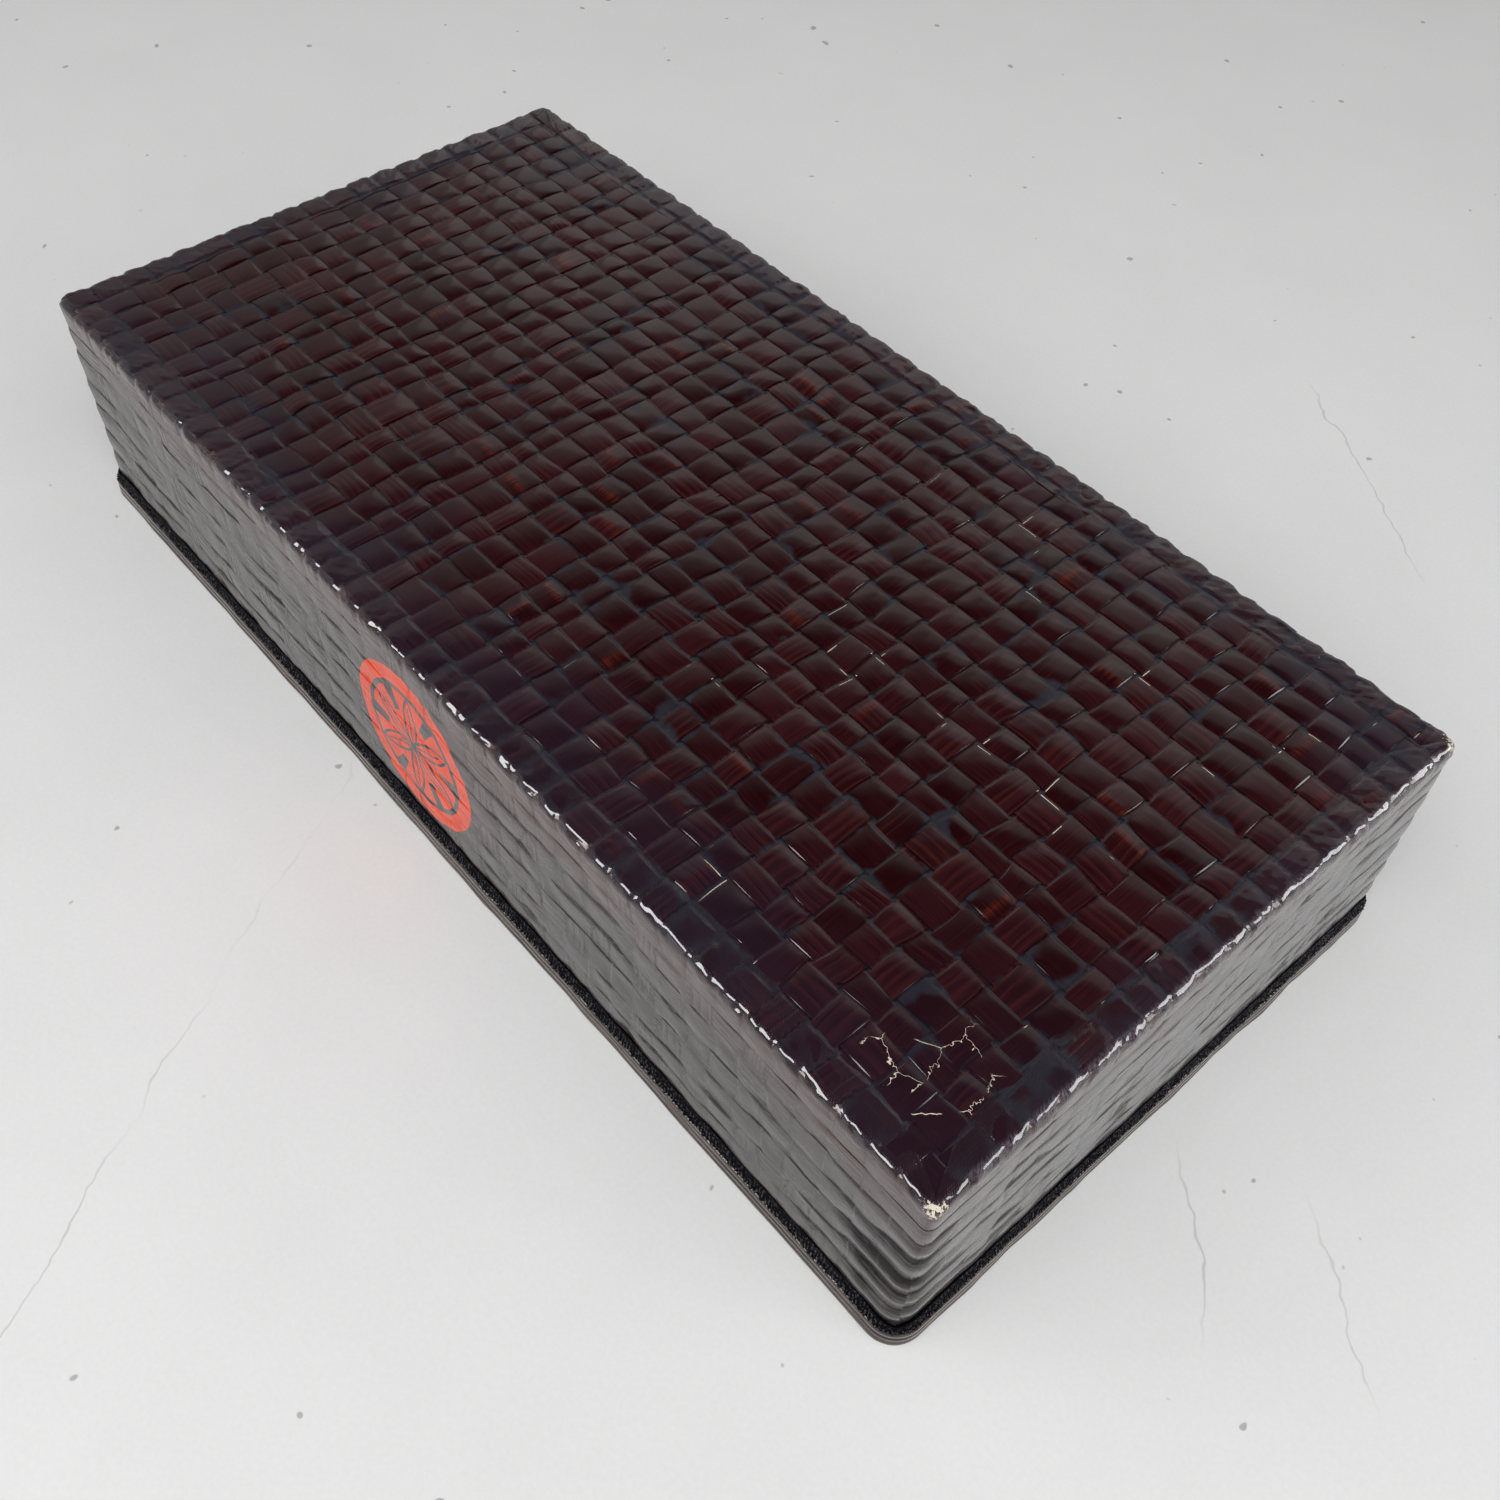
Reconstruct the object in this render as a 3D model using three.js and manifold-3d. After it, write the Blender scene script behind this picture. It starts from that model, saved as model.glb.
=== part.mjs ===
// Woven bamboo storage basket with a deep lid that slides down over the whole base.
// Millimetres, +Z up. The origin is at the middle of the footprint, on the floor.
// X runs along the length and the painted long side faces -Y.
import * as THREE from 'three';
import { mergeVertices } from 'three/addons/utils/BufferGeometryUtils.js';
import Module from 'manifold-3d';

const wasm = await Module();
wasm.setup();

// Lid, outside: half length, half width and corner radius at its top and at its open foot
const LID_TOP = { a: 440, b: 215.5, r: 5 };
const LID_FOOT = { a: 444, b: 220.5, r: 17 };
const LID_HEIGHT = 178;

// The lid's foot stands on the floor round the base, so its panel stays just clear of the base's mouth
const LID_FOOT_Z = 0.3;
const PANEL_ABOVE_MOUTH = 1.4;

// Base, outside, seen upside down: its closed bottom and its open mouth
const BASE_BOTTOM = { a: 423.5, b: 199, r: 5 };
const BASE_MOUTH = { a: 427.5, b: 203.5, r: 17 };

// Sheets and walls
const WALL = 3.5;
const LINING = 0.8;
const CLOTH = 0.5;
const GAP = 0.3;
const EDGE_ROUND = 5;
const EDGE_STEPS = 4;
const INSIDE_EDGE_STEPS = 2;

// Hoops of split bamboo that stiffen the open mouth of the lid and of the base
const HOOP_HEIGHT = 14;
const HOOP_TOP_THICK = 3;
const HOOP_FOOT_THICK = 4.2;
const INNER_HOOP_HEIGHT = 19;
const INNER_HOOP_THICK = 3.5;

// How far a hoop's edges are eased: into its face, and along its height
const HOOP_FOOT_EASE = { face: 0.8, height: 1.2 };
const HOOP_TOP_EASE = { face: 0.7, height: 1 };
const INNER_HOOP_EASE = { face: 0.6, height: 1 };

// Cloth over the step between hoop and wall, and cloth bands over the long and short edges
const LEDGE_TOP = 24;
const LEDGE_BEHIND_HOOP = 0.4;
const LEDGE_EASE = 0.2;
const EDGE_CLOTH_ON_PANEL = 26;
const EDGE_CLOTH_ON_WALL = 20;

// Where two edge cloths meet at a corner, each stops this far from its middle, counted in the corner's chords
const EDGE_CLOTH_MITRE = 0.12;

// Bamboo pegs through both hoops and the wall
const PEG_RADIUS = 1.3;
const PEG_HOLE_CLEARANCE = 0.3;
const PEG_HOLE_REACH = 15;
const PEG_END_BEHIND_HOOP = 0.1;
const PEG_HEIGHT = 8;
const PEG_SIDES = 8;
const PEGS_ALONG_LENGTH = [-330, -110, 110, 330];
const PEGS_ALONG_WIDTH = [0];

// Split bamboo battens across the underside, on which the base stands
const BATTEN_THICK = 2.2;
const BATTEN_WIDTH = 24;
const BATTEN_EASE = 0.6;
const BATTEN_END_TO_CLOTH = 2;
const BATTEN_PLACES = [-330, -110, 110, 330];

// Heights that follow from the closed stack
const CLOTH_RISE = GAP + CLOTH;
const LID_PANEL = LID_HEIGHT - LID_FOOT_Z - CLOTH_RISE;
const BASE_MOUTH_Z = LID_FOOT_Z + LID_PANEL - WALL - GAP - LINING - PANEL_ABOVE_MOUTH;
const BASE_PANEL = BASE_MOUTH_Z - BATTEN_THICK - GAP;

const CORNER_STEPS = 6;
const STATIONS = 4 * (CORNER_STEPS + 1);
const LEAST_RADIUS = 0.4;
const MERGE_DISTANCE = 1e-4;

const FINISH = {
  weave: { color: 0x3a2224, roughness: 0.32, metalness: 0 },
  hoop: { color: 0x2f2628, roughness: 0.28, metalness: 0 },
  rimCloth: { color: 0x17161c, roughness: 0.5, metalness: 0 },
  edgeCloth: { color: 0x2c2226, roughness: 0.4, metalness: 0 },
  paper: { color: 0x5a3a2a, roughness: 0.85, metalness: 0 },
  bamboo: { color: 0x6b4a2c, roughness: 0.6, metalness: 0 },
};

// One named solid in its finish
function piece(name, geometry, finish) {
  const flat = geometry.index ? geometry.toNonIndexed() : geometry;
  flat.computeVertexNormals();
  const mesh = new THREE.Mesh(flat, new THREE.MeshStandardMaterial(FINISH[finish]));
  mesh.name = name;
  return mesh;
}

// Indexed geometry from points and triangles, turned to face outwards
function closedBody(points, triangles) {
  let volume = 0;
  for (const [i, j, k] of triangles) {
    volume += points[i].dot(points[j].clone().cross(points[k]));
  }
  const index = triangles.flatMap(([i, j, k]) => (volume < 0 ? [i, k, j] : [i, j, k]));
  const geometry = new THREE.BufferGeometry();
  geometry.setAttribute('position', new THREE.Float32BufferAttribute(points.flatMap((p) => p.toArray()), 3));
  geometry.setIndex(index);
  return geometry;
}

// Rounded rectangle grown outwards by a distance
function grown(section, distance) {
  return {
    a: section.a + distance,
    b: section.b + distance,
    r: Math.max(section.r + distance, LEAST_RADIUS),
    z: section.z,
  };
}

// Point on a rounded rectangle: each corner is a quarter arc of CORNER_STEPS chords,
// and a station between two whole numbers lies on the line that joins them
function pointAt(section, station) {
  const whole = Math.floor(station);
  const corner = [[1, 1], [-1, 1], [-1, -1], [1, -1]];
  const at = (number) => {
    const wrapped = ((number % STATIONS) + STATIONS) % STATIONS;
    const quarter = Math.floor(wrapped / (CORNER_STEPS + 1));
    const angle = (quarter + (wrapped % (CORNER_STEPS + 1)) / CORNER_STEPS) * Math.PI / 2;
    return new THREE.Vector3(
      corner[quarter][0] * (section.a - section.r) + section.r * Math.cos(angle),
      corner[quarter][1] * (section.b - section.r) + section.r * Math.sin(angle),
      section.z,
    );
  };
  return at(whole).lerp(at(whole + 1), station - whole);
}

// Skin through a stack of rounded rectangles, closed by a flat panel at each end of the stack
function stackedBody(sections) {
  const points = sections.flatMap((section) => (
    Array.from({ length: STATIONS }, (_, station) => pointAt(section, station))));
  const triangles = [];
  for (let row = 0; row + 1 < sections.length; row += 1) {
    for (let i = 0; i < STATIONS; i += 1) {
      const next = (i + 1) % STATIONS;
      const low = row * STATIONS;
      const high = low + STATIONS;
      triangles.push([low + i, low + next, high + next], [low + i, high + next, high + i]);
    }
  }
  const last = (sections.length - 1) * STATIONS;
  const first = points.push(new THREE.Vector3(0, 0, sections[0].z)) - 1;
  const end = points.push(new THREE.Vector3(0, 0, sections.at(-1).z)) - 1;
  for (let i = 0; i < STATIONS; i += 1) {
    const next = (i + 1) % STATIONS;
    triangles.push([first, next, i], [end, last + i, last + next]);
  }
  return closedBody(points, triangles);
}

// Band between an outer and an inner row of sections: all the way round, or from one station to another
function band(outer, inner, from = null, to = null) {
  const whole = from === null;
  const stations = whole ? Array.from({ length: STATIONS }, (_, station) => station) : [from];
  for (let station = Math.floor(from) + 1; !whole && station < to; station += 1) stations.push(station);
  if (!whole) stations.push(to);
  const loop = [...outer, ...inner.toReversed()];
  const points = stations.flatMap((station) => loop.map((section) => pointAt(section, station)));
  const triangles = [];
  const turns = whole ? stations.length : stations.length - 1;
  for (let turn = 0; turn < turns; turn += 1) {
    const here = turn * loop.length;
    const there = ((turn + 1) % stations.length) * loop.length;
    for (let i = 0; i < loop.length; i += 1) {
      const next = (i + 1) % loop.length;
      triangles.push([here + i, here + next, there + next], [here + i, there + next, there + i]);
    }
  }
  if (!whole) {
    const end = (stations.length - 1) * loop.length;
    for (let i = 0; i + 1 < outer.length; i += 1) {
      const far = loop.length - 1 - i;
      triangles.push([i, far, i + 1], [i + 1, far, far - 1]);
      triangles.push([end + i, end + i + 1, end + far], [end + i + 1, end + far - 1, end + far]);
    }
  }
  return closedBody(points, triangles);
}

function toManifold(geometry) {
  const bare = geometry.clone();
  bare.deleteAttribute('normal');
  bare.deleteAttribute('uv');
  const merged = mergeVertices(bare, MERGE_DISTANCE);
  return new wasm.Manifold(new wasm.Mesh({
    numProp: 3,
    vertProperties: new Float32Array(merged.attributes.position.array),
    triVerts: new Uint32Array(merged.index.array),
  }));
}

// A solid with every cutter taken out of it
function drilled(geometry, cutters) {
  let body = toManifold(geometry);
  for (const cutter of cutters) body = body.subtract(toManifold(cutter));
  const mesh = body.getMesh();
  const result = new THREE.BufferGeometry();
  result.setAttribute('position', new THREE.BufferAttribute(mesh.vertProperties, 3));
  result.setIndex(new THREE.BufferAttribute(mesh.triVerts, 1));
  return result;
}

// Outer wall of a tray that stands mouth down on z = 0, as a section at any height
function wallOf(panel, mouth, height) {
  return (z) => {
    const t = z / height;
    return {
      a: THREE.MathUtils.lerp(mouth.a, panel.a, t),
      b: THREE.MathUtils.lerp(mouth.b, panel.b, t),
      r: THREE.MathUtils.lerp(mouth.r, panel.r, t),
      z,
    };
  };
}

// Edge between wall and panel: sections round a quarter arc, from the wall to the panel's flat
function roundedEdge(wall, top, radius, steps) {
  return Array.from({ length: steps + 1 }, (_, i) => {
    const angle = i / steps * Math.PI / 2;
    const section = grown(wall(top), -radius * (1 - Math.cos(angle)));
    return { ...section, z: top - radius * (1 - Math.sin(angle)) };
  });
}

// Open tray of a given thickness with rounded edges
function trayShell(wall, foot, top, thickness) {
  const inside = (z) => grown(wall(z), -thickness);
  const insideRound = Math.max(EDGE_ROUND - thickness, LEAST_RADIUS);
  const sections = [
    ...roundedEdge(inside, top - thickness, insideRound, INSIDE_EDGE_STEPS).toReversed(),
    grown(wall(foot), -thickness),
    wall(foot),
    ...roundedEdge(wall, top, EDGE_ROUND, EDGE_STEPS),
  ];
  return stackedBody(sections);
}

// Places of the pegs: a point outside the wall, and the turn that points local +Y outwards
function pegPlaces(wall) {
  const { a, b } = wall(PEG_HEIGHT);
  return [
    ...PEGS_ALONG_LENGTH.map((x) => ({ x, y: -b, turn: Math.PI })),
    ...PEGS_ALONG_WIDTH.map((y) => ({ x: a, y, turn: -Math.PI / 2 })),
    ...PEGS_ALONG_LENGTH.toReversed().map((x) => ({ x, y: b, turn: 0 })),
    ...PEGS_ALONG_WIDTH.map((y) => ({ x: -a, y, turn: Math.PI / 2 })),
  ];
}

// Bamboo rod lying along local Y, between two distances from the wall's outer face
function rod(place, radius, inwards, outwards) {
  const geometry = new THREE.CylinderGeometry(radius, radius, inwards + outwards, PEG_SIDES);
  geometry.translate(0, (outwards - inwards) / 2, 0);
  geometry.rotateZ(place.turn);
  geometry.translate(place.x, place.y, PEG_HEIGHT);
  return geometry;
}

// Tray with its lining, hoops, cloths and pegs, standing mouth down on z = 0
function tray(prefix, panel, mouth, height, sides) {
  const group = new THREE.Group();
  const wall = wallOf(panel, mouth, height);
  const places = pegPlaces(wall);
  const holeRadius = PEG_RADIUS + PEG_HOLE_CLEARANCE;
  const holes = places.map((place) => rod(place, holeRadius, PEG_HOLE_REACH, PEG_HOLE_REACH));
  const add = (name, geometry, finish) => group.add(piece(`${prefix}_${name}`, geometry, finish));

  add('woven_shell', drilled(trayShell(wall, 0, height, WALL), holes), 'weave');

  const liningFoot = INNER_HOOP_HEIGHT + 2 * GAP;
  const liningWall = (z) => grown(wall(z), -WALL - GAP);
  add('paper_lining', trayShell(liningWall, liningFoot, height - WALL - GAP, LINING), 'paper');

  const hoopFoot = HOOP_FOOT_EASE.height;
  const hoopTop = HOOP_HEIGHT - HOOP_TOP_EASE.height;
  const hoopFace = [
    grown(wall(0), GAP + HOOP_FOOT_THICK - HOOP_FOOT_EASE.face),
    { ...grown(wall(0), GAP + HOOP_FOOT_THICK), z: hoopFoot },
    { ...grown(wall(HOOP_HEIGHT), GAP + HOOP_TOP_THICK), z: hoopTop },
    grown(wall(HOOP_HEIGHT), GAP + HOOP_TOP_THICK - HOOP_TOP_EASE.face),
  ];
  const hoopBack = [0, hoopFoot, hoopTop, HOOP_HEIGHT].map((z) => grown(wall(z), GAP));
  add('outer_hoop', drilled(band(hoopFace, hoopBack), holes), 'hoop');

  const innerEase = INNER_HOOP_EASE.height;
  const innerHeights = [0, innerEase, INNER_HOOP_HEIGHT - innerEase, INNER_HOOP_HEIGHT];
  const innerBack = innerHeights.map((z) => grown(wall(z), -WALL - GAP));
  const innerFace = innerBack.map((section, i) => {
    const ease = i === 0 || i === innerBack.length - 1 ? INNER_HOOP_EASE.face : 0;
    return grown(section, ease - INNER_HOOP_THICK);
  });
  add('inner_hoop', drilled(band(innerBack, innerFace), holes), 'hoop');

  const ledgeFoot = HOOP_HEIGHT + GAP;
  const ledgeReach = GAP + HOOP_TOP_THICK - LEDGE_BEHIND_HOOP;
  const ledgeFace = [
    { ...grown(wall(ledgeFoot), ledgeReach), z: ledgeFoot },
    { ...grown(wall(ledgeFoot), ledgeReach - LEDGE_EASE), z: ledgeFoot + CLOTH },
    grown(wall(LEDGE_TOP), GAP + CLOTH),
  ];
  const ledgeBack = [ledgeFoot, ledgeFoot + CLOTH, LEDGE_TOP].map((z) => grown(wall(z), GAP));
  add('rim_cloth', band(ledgeFace, ledgeBack), 'rimCloth');

  const bandFoot = wall(height - EDGE_CLOTH_ON_WALL);
  const bandEnd = { ...grown(wall(height), -EDGE_CLOTH_ON_PANEL), z: height };
  const laid = (rise) => [
    grown(bandFoot, rise),
    ...roundedEdge((z) => grown(wall(z), rise), height, EDGE_ROUND, EDGE_STEPS).map((section) => (
      { ...section, z: section.z + rise })),
    { ...bandEnd, z: height + rise },
  ];
  const middleOfCorner = (corner) => corner * (CORNER_STEPS + 1) + CORNER_STEPS / 2;
  sides.forEach((side, i) => {
    const from = middleOfCorner(i) + EDGE_CLOTH_MITRE;
    const to = middleOfCorner(i + 1) - EDGE_CLOTH_MITRE;
    add(`edge_cloth_${side}`, band(laid(CLOTH_RISE), laid(GAP), from, to), 'edgeCloth');
  });

  places.forEach((place, i) => {
    const reach = GAP + HOOP_TOP_THICK;
    const depth = WALL + GAP + INNER_HOOP_THICK - PEG_END_BEHIND_HOOP;
    const number = String(i + 1).padStart(2, '0');
    add(`rim_peg_${number}`, rod(place, PEG_RADIUS, depth, reach), 'bamboo');
  });
  return group;
}

// Split bamboo strip with eased long edges, laid across the underside
function batten(length) {
  const side = BATTEN_WIDTH / 2;
  const outline = new THREE.Shape();
  outline.moveTo(-side, BATTEN_THICK);
  outline.lineTo(-side, BATTEN_EASE);
  outline.lineTo(-side + 2 * BATTEN_EASE, 0);
  outline.lineTo(side - 2 * BATTEN_EASE, 0);
  outline.lineTo(side, BATTEN_EASE);
  outline.lineTo(side, BATTEN_THICK);
  outline.closePath();
  const geometry = new THREE.ExtrudeGeometry(outline, { depth: length, bevelEnabled: false });
  geometry.translate(0, 0, -length / 2);
  geometry.rotateX(Math.PI / 2);
  return geometry;
}

const basket = new THREE.Group();

// Sides are named in the order in which the stations pass them, starting at the back
const lid = tray('lid', LID_TOP, LID_FOOT, LID_PANEL, ['back', 'left', 'front', 'right']);
lid.position.z = LID_FOOT_Z;
basket.add(lid);

const base = tray('base', BASE_BOTTOM, BASE_MOUTH, BASE_PANEL, ['front', 'left', 'back', 'right']);
base.rotation.x = Math.PI;
base.position.z = BASE_MOUTH_Z;
basket.add(base);

const battenLength = 2 * (BASE_BOTTOM.b - EDGE_CLOTH_ON_PANEL - BATTEN_END_TO_CLOTH);
BATTEN_PLACES.forEach((x, i) => {
  const strip = piece(`base_batten_${i + 1}`, batten(battenLength), 'bamboo');
  strip.position.x = x;
  basket.add(strip);
});

export default basket;
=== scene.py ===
"""Woven storage basket: two lacquered plain-woven trays, one over the other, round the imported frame."""

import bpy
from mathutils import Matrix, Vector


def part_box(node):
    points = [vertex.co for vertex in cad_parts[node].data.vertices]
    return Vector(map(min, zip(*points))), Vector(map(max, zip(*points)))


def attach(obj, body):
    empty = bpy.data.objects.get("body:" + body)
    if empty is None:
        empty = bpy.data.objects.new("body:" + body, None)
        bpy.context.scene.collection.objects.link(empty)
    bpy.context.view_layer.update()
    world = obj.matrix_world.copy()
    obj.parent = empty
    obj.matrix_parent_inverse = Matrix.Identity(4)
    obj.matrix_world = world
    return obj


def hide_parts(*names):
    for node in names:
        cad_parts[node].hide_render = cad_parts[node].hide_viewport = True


bl_info = {
    "name": "Woven storage basket",
    "version": (1, 0, 0),
    "blender": (4, 5, 0),
    "location": "View3D > Sidebar > Basket",
    "description": "Lacquered bamboo basket with a deep lid: weave, cloths, hoops, linings and stage",
    "category": "Object",
}

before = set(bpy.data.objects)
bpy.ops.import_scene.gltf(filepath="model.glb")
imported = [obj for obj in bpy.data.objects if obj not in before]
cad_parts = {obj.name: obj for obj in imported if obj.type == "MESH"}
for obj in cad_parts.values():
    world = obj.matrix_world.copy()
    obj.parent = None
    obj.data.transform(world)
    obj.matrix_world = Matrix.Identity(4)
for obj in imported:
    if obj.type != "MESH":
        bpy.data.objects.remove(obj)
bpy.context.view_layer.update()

import math
from collections import namedtuple

import bpy
import numpy as np
from mathutils import Quaternion, Vector

TRAYS = ("lid", "base")

# Sides of a tray seen from above, each with the way it runs and the way it faces
SIDES = {
    "front": ((1, 0), (0, -1)),
    "right": ((0, 1), (1, 0)),
    "back": ((-1, 0), (0, 1)),
    "left": ((0, -1), (-1, 0)),
}

# The base is the same tray turned over about its length, so its sides swap places
TURNED_OVER = {"front": "back", "right": "right", "back": "front", "left": "left"}

# Smallest corner radius, which keeps a shrunken loop's arcs round
LEAST_RADIUS = 0.0004
MILLIMETRE = 0.001


# Makers of properties

def a_value(name, description, default, **kind):
    return bpy.props.FloatProperty(name=name, description=description, default=default, **kind)


def a_length(name, description, default):
    return a_value(name, description, default, unit="LENGTH")


def a_share(name, description, default):
    return a_value(name, description, default, subtype="FACTOR")


def a_row(name, description, default, **kind):
    """Two or three values, such as a size or a place."""
    return bpy.props.FloatVectorProperty(
        name=name, description=description, size=len(default), default=default, **kind)


def a_colour(name, description, default):
    return a_row(name, description, default, subtype="COLOR")


class BasketSizes(bpy.types.PropertyGroup):
    """Sizes of the two trays; their mouths and heights come from the frame"""

    lid_panel: a_row(
        "Lid panel", "Length and width of the lid's top, over its edges", (0.880, 0.431), unit="LENGTH")
    base_panel: a_row(
        "Base panel", "Length and width of the base's bottom, over its edges", (0.847, 0.398), unit="LENGTH")
    panel_corner: a_length("Panel corner", "Corner radius of a tray at its panel", 0.005)
    mouth_corner: a_length("Mouth corner", "Corner radius of a tray at its mouth", 0.017)
    edge_radius: a_length("Edge radius", "Rounding between panel and walls", 0.006)
    wall: a_length("Wall", "Thickness of a woven wall", 0.0035)


class WeaveLook(bpy.types.PropertyGroup):
    """Plain weave of flat bamboo strips"""

    pitch: a_length("Pitch", "Distance from strip to strip", 0.0218)
    wall_rows: bpy.props.IntProperty(
        name="Wall rows", description="Lying strips in the height of a wall", default=8)
    cover: a_share("Cover", "Width of a strip as a share of its place", 0.830)
    cover_spread: a_share("Cover spread", "How much that share differs", 0.035)
    row_cover: a_share("Row cover", "Width of a wall's lying strip as a share of its place", 0.955)
    width_spread: a_share(
        "Width spread", "How far the lines between strips are off, as a share of the pitch", 0.085)
    rise: a_length("Rise", "How far a strip arches over and dips under the next", 0.00095)
    uneven: a_share("Uneven", "How much the rise differs from crossing to crossing", 0.42)
    arch: a_value("Arch", "Power of the arch: 2 is round, higher is flatter on top", 2.0)
    camber: a_length("Camber", "Fall of a strip from its middle to its lips", 0.00022)
    lean: a_length("Lean", "Sideways tilt of single strips", 0.00028)
    wander: a_length("Wander", "How far a strip strays from its straight line", 0.0042)
    unevenness: a_length("Unevenness", "Slow swell of the whole mat", 0.0009)
    thumb: a_value("Thumb", "How much more the lips round off at a crown's ends", 0.25)
    knots: a_share("Knots", "Share of the crowns that carry a bamboo knot", 0.055)
    knot_rise: a_length("Knot rise", "Height of a knot's ridge", 0.0005)
    knot_width: a_length("Knot width", "Distance from a knot's ridge over which it falls away", 0.0024)
    sink: a_length("Sink", "How far the mat's middle lies inside the frame's wall", 0.0010)
    ground: a_share("Ground", "Depth of the lacquer and dust in the gaps, as a share of the rise", 0.55)
    lip: a_length("Lip", "Width of the slope from a strip's lip down to the next strip", 0.00042)
    panel_round: a_row("Panel round", "Sideways rounding of standing and lying crowns, panel", (0.34, 0.34))
    wall_round: a_row("Wall round", "Sideways rounding of standing and lying crowns, walls", (0.80, 0.25))
    panel_fill: a_length("Panel fill", "Lacquer in the panel's creases", 0.00045)
    wall_fill: a_length("Wall fill", "Lacquer in the walls' creases", 0.00050)
    wall_relief: a_share("Wall relief", "Height of the walls' weave, as a share of the panel's", 0.58)
    wall_wrap: a_share("Wall wrap", "How much the lying strips cover the standing ones on the walls", 0.22)
    pools: a_share("Pools", "How much the pools of lacquer on the walls hide the weave", 0.92)
    pillow: a_share("Pillow", "Swell over each crossing that the pools leave, as a share of the rise", 0.80)
    shelf: a_length("Shelf", "How far a lying strip's upper lip stands out at the near corner", 0.00210)
    other_shelf: a_share("Other shelves", "Share of that at the other corners", 0.25)
    slit: a_length("Slit", "How far an upper lip stands out where a slit shows in a wall", 0.00050)
    wall_lean: a_length("Wall lean", "How far a lying strip's upper lip stands out on the walls", 0.0003)


class ClothLook(bpy.types.PropertyGroup):
    """Hemp cloths set in lacquer over the panel's edges and over the step above the hoop"""

    on_panel: a_length("On the panel", "Width of an edge band on the panel", 0.026)
    on_wall: a_length("On the wall", "Width of an edge band on the wall", 0.013)
    border: a_length("Border", "Width over which an edge band thins out", 0.006)
    thickness: a_length("Thickness", "Cloth and lacquer over the weave", 0.0004)
    pucker: a_length("Pucker", "Height of the small bumps along the edge", 0.00048)
    scallop: a_length("Scallop", "Height of the bulge that each strip makes on the edge", 0.0013)
    ledge_top: a_length("Ledge top", "Height of the rim cloth's upper border over the mouth", 0.0245)
    rib_pitch: a_length("Rib pitch", "Distance between the rim cloth's threads", 0.0019)
    rib_rise: a_length("Rib rise", "Height of the rim cloth's threads", 0.00080)
    threads: a_row(
        "Threads", "Distance between the edge cloth's threads along and across the edge, and between the rim "
        "cloth's rows", (0.0015, 0.0017, 0.0016), unit="LENGTH")


class HoopLook(bpy.types.PropertyGroup):
    """Split bamboo hoop round a mouth"""

    gap: a_length("Gap", "Room between wall and hoop", 0.0003)
    height: a_length("Height", "Height of the hoop", 0.014)
    foot: a_length("Foot", "Thickness at the mouth", 0.0042)
    top: a_length("Top", "Thickness at the upper edge", 0.003)
    waviness: a_length("Waviness", "How far the bent bamboo bulges in and out", 0.0013)


class Colours(bpy.types.PropertyGroup):
    """Colours of the finishes"""

    crown: a_colour("Crown", "Red-brown lacquer on the raised strips", (0.0290, 0.0060, 0.0076))
    crown_dark: a_colour("Dark crown", "Thick lacquer on the raised strips", (0.0130, 0.0013, 0.0018))
    # Also laid on patches of the panel's far lips, where it is partly rubbed lacquer and partly painted
    # highlight.
    rubbed: a_colour("Rubbed", "Thin lacquer on knots and lips", (0.100, 0.016, 0.007))
    wall: a_colour("Wall", "Thick lacquer on the walls", (0.0125, 0.0110, 0.0095))
    brown: a_colour("Brown", "Thin lacquer on the upper walls", (0.080, 0.046, 0.043))
    # Painted highlight: pale colour on the far lips of the walls' strips, in place of the light that they
    # catch.
    line: a_colour("Line", "Rubbed lacquer on the lips of the walls' strips", (0.22, 0.22, 0.21))
    # Painted sheen: lilac colour on the ridge of the lid's right edge, in place of its reflection.
    painted_sheen: a_colour("Haze", "Lilac bloom on the worn edges", (0.150, 0.118, 0.142))
    # Pale grey used for real dirt in the gaps and on ridges, and for painted light: highlights on far lips
    # and rib tops, and a lighter right wall.
    dust_and_painted_light: a_colour("Dust", "Dust and rubbed lacquer on fine ridges", (0.150, 0.150, 0.145))
    valley: a_colour("Valley", "Blue-black lacquer between the strips", (0.0215, 0.0210, 0.0285))
    # Painted shadow: dark colour laid on the near lips of the panel's strips and in the folds at the wall's
    # strained corner, where shade falls.
    crease: a_colour("Crease", "Shadowed lacquer beside a strip's near lip", (0.0022, 0.0014, 0.0020))
    band: a_colour("Edge band", "Purple-black lacquer over the edge cloths", (0.0175, 0.0108, 0.0195))
    worn: a_colour("Worn", "Bare bamboo and ground where the lacquer is gone", (0.68, 0.61, 0.50))
    vermilion: a_colour("Vermilion", "Painted mark", (0.78, 0.062, 0.016))
    vermilion_thin: a_colour("Thin vermilion", "Brush streaks in the mark", (0.86, 0.120, 0.055))
    hoop: a_colour("Hoop", "Lacquer on the hoops", (0.0240, 0.0165, 0.0145))
    hoop_streak: a_colour("Hoop streak", "Rubbed lines along the hoops", (0.095, 0.070, 0.058))
    rim: a_colour("Rim cloth", "Black lacquer on the rim cloth", (0.0040, 0.0038, 0.0060))
    paper: a_colour("Paper", "Persimmon-tanned lining paper", (0.190, 0.085, 0.040))
    bamboo: a_colour("Bamboo", "Oiled split bamboo", (0.300, 0.165, 0.070))


class Mark(bpy.types.PropertyGroup):
    """Round mark painted on the front wall of the lid"""

    height: a_length("Height", "Middle of the mark over the floor", 0.0915)
    ring_outside: a_length("Ring outside", "Outer radius of the ring", 0.0615)
    ring_inside: a_length("Ring inside", "Inner radius of the ring", 0.0490)
    petal: a_length("Petal", "Length of a petal, which is also the compass radius", 0.0450)
    line: a_length("Line", "Width of the dark lines between the painted shapes", 0.0016)
    soft: a_length("Soft", "Width over which the paint's edge fades", 0.0004)


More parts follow.
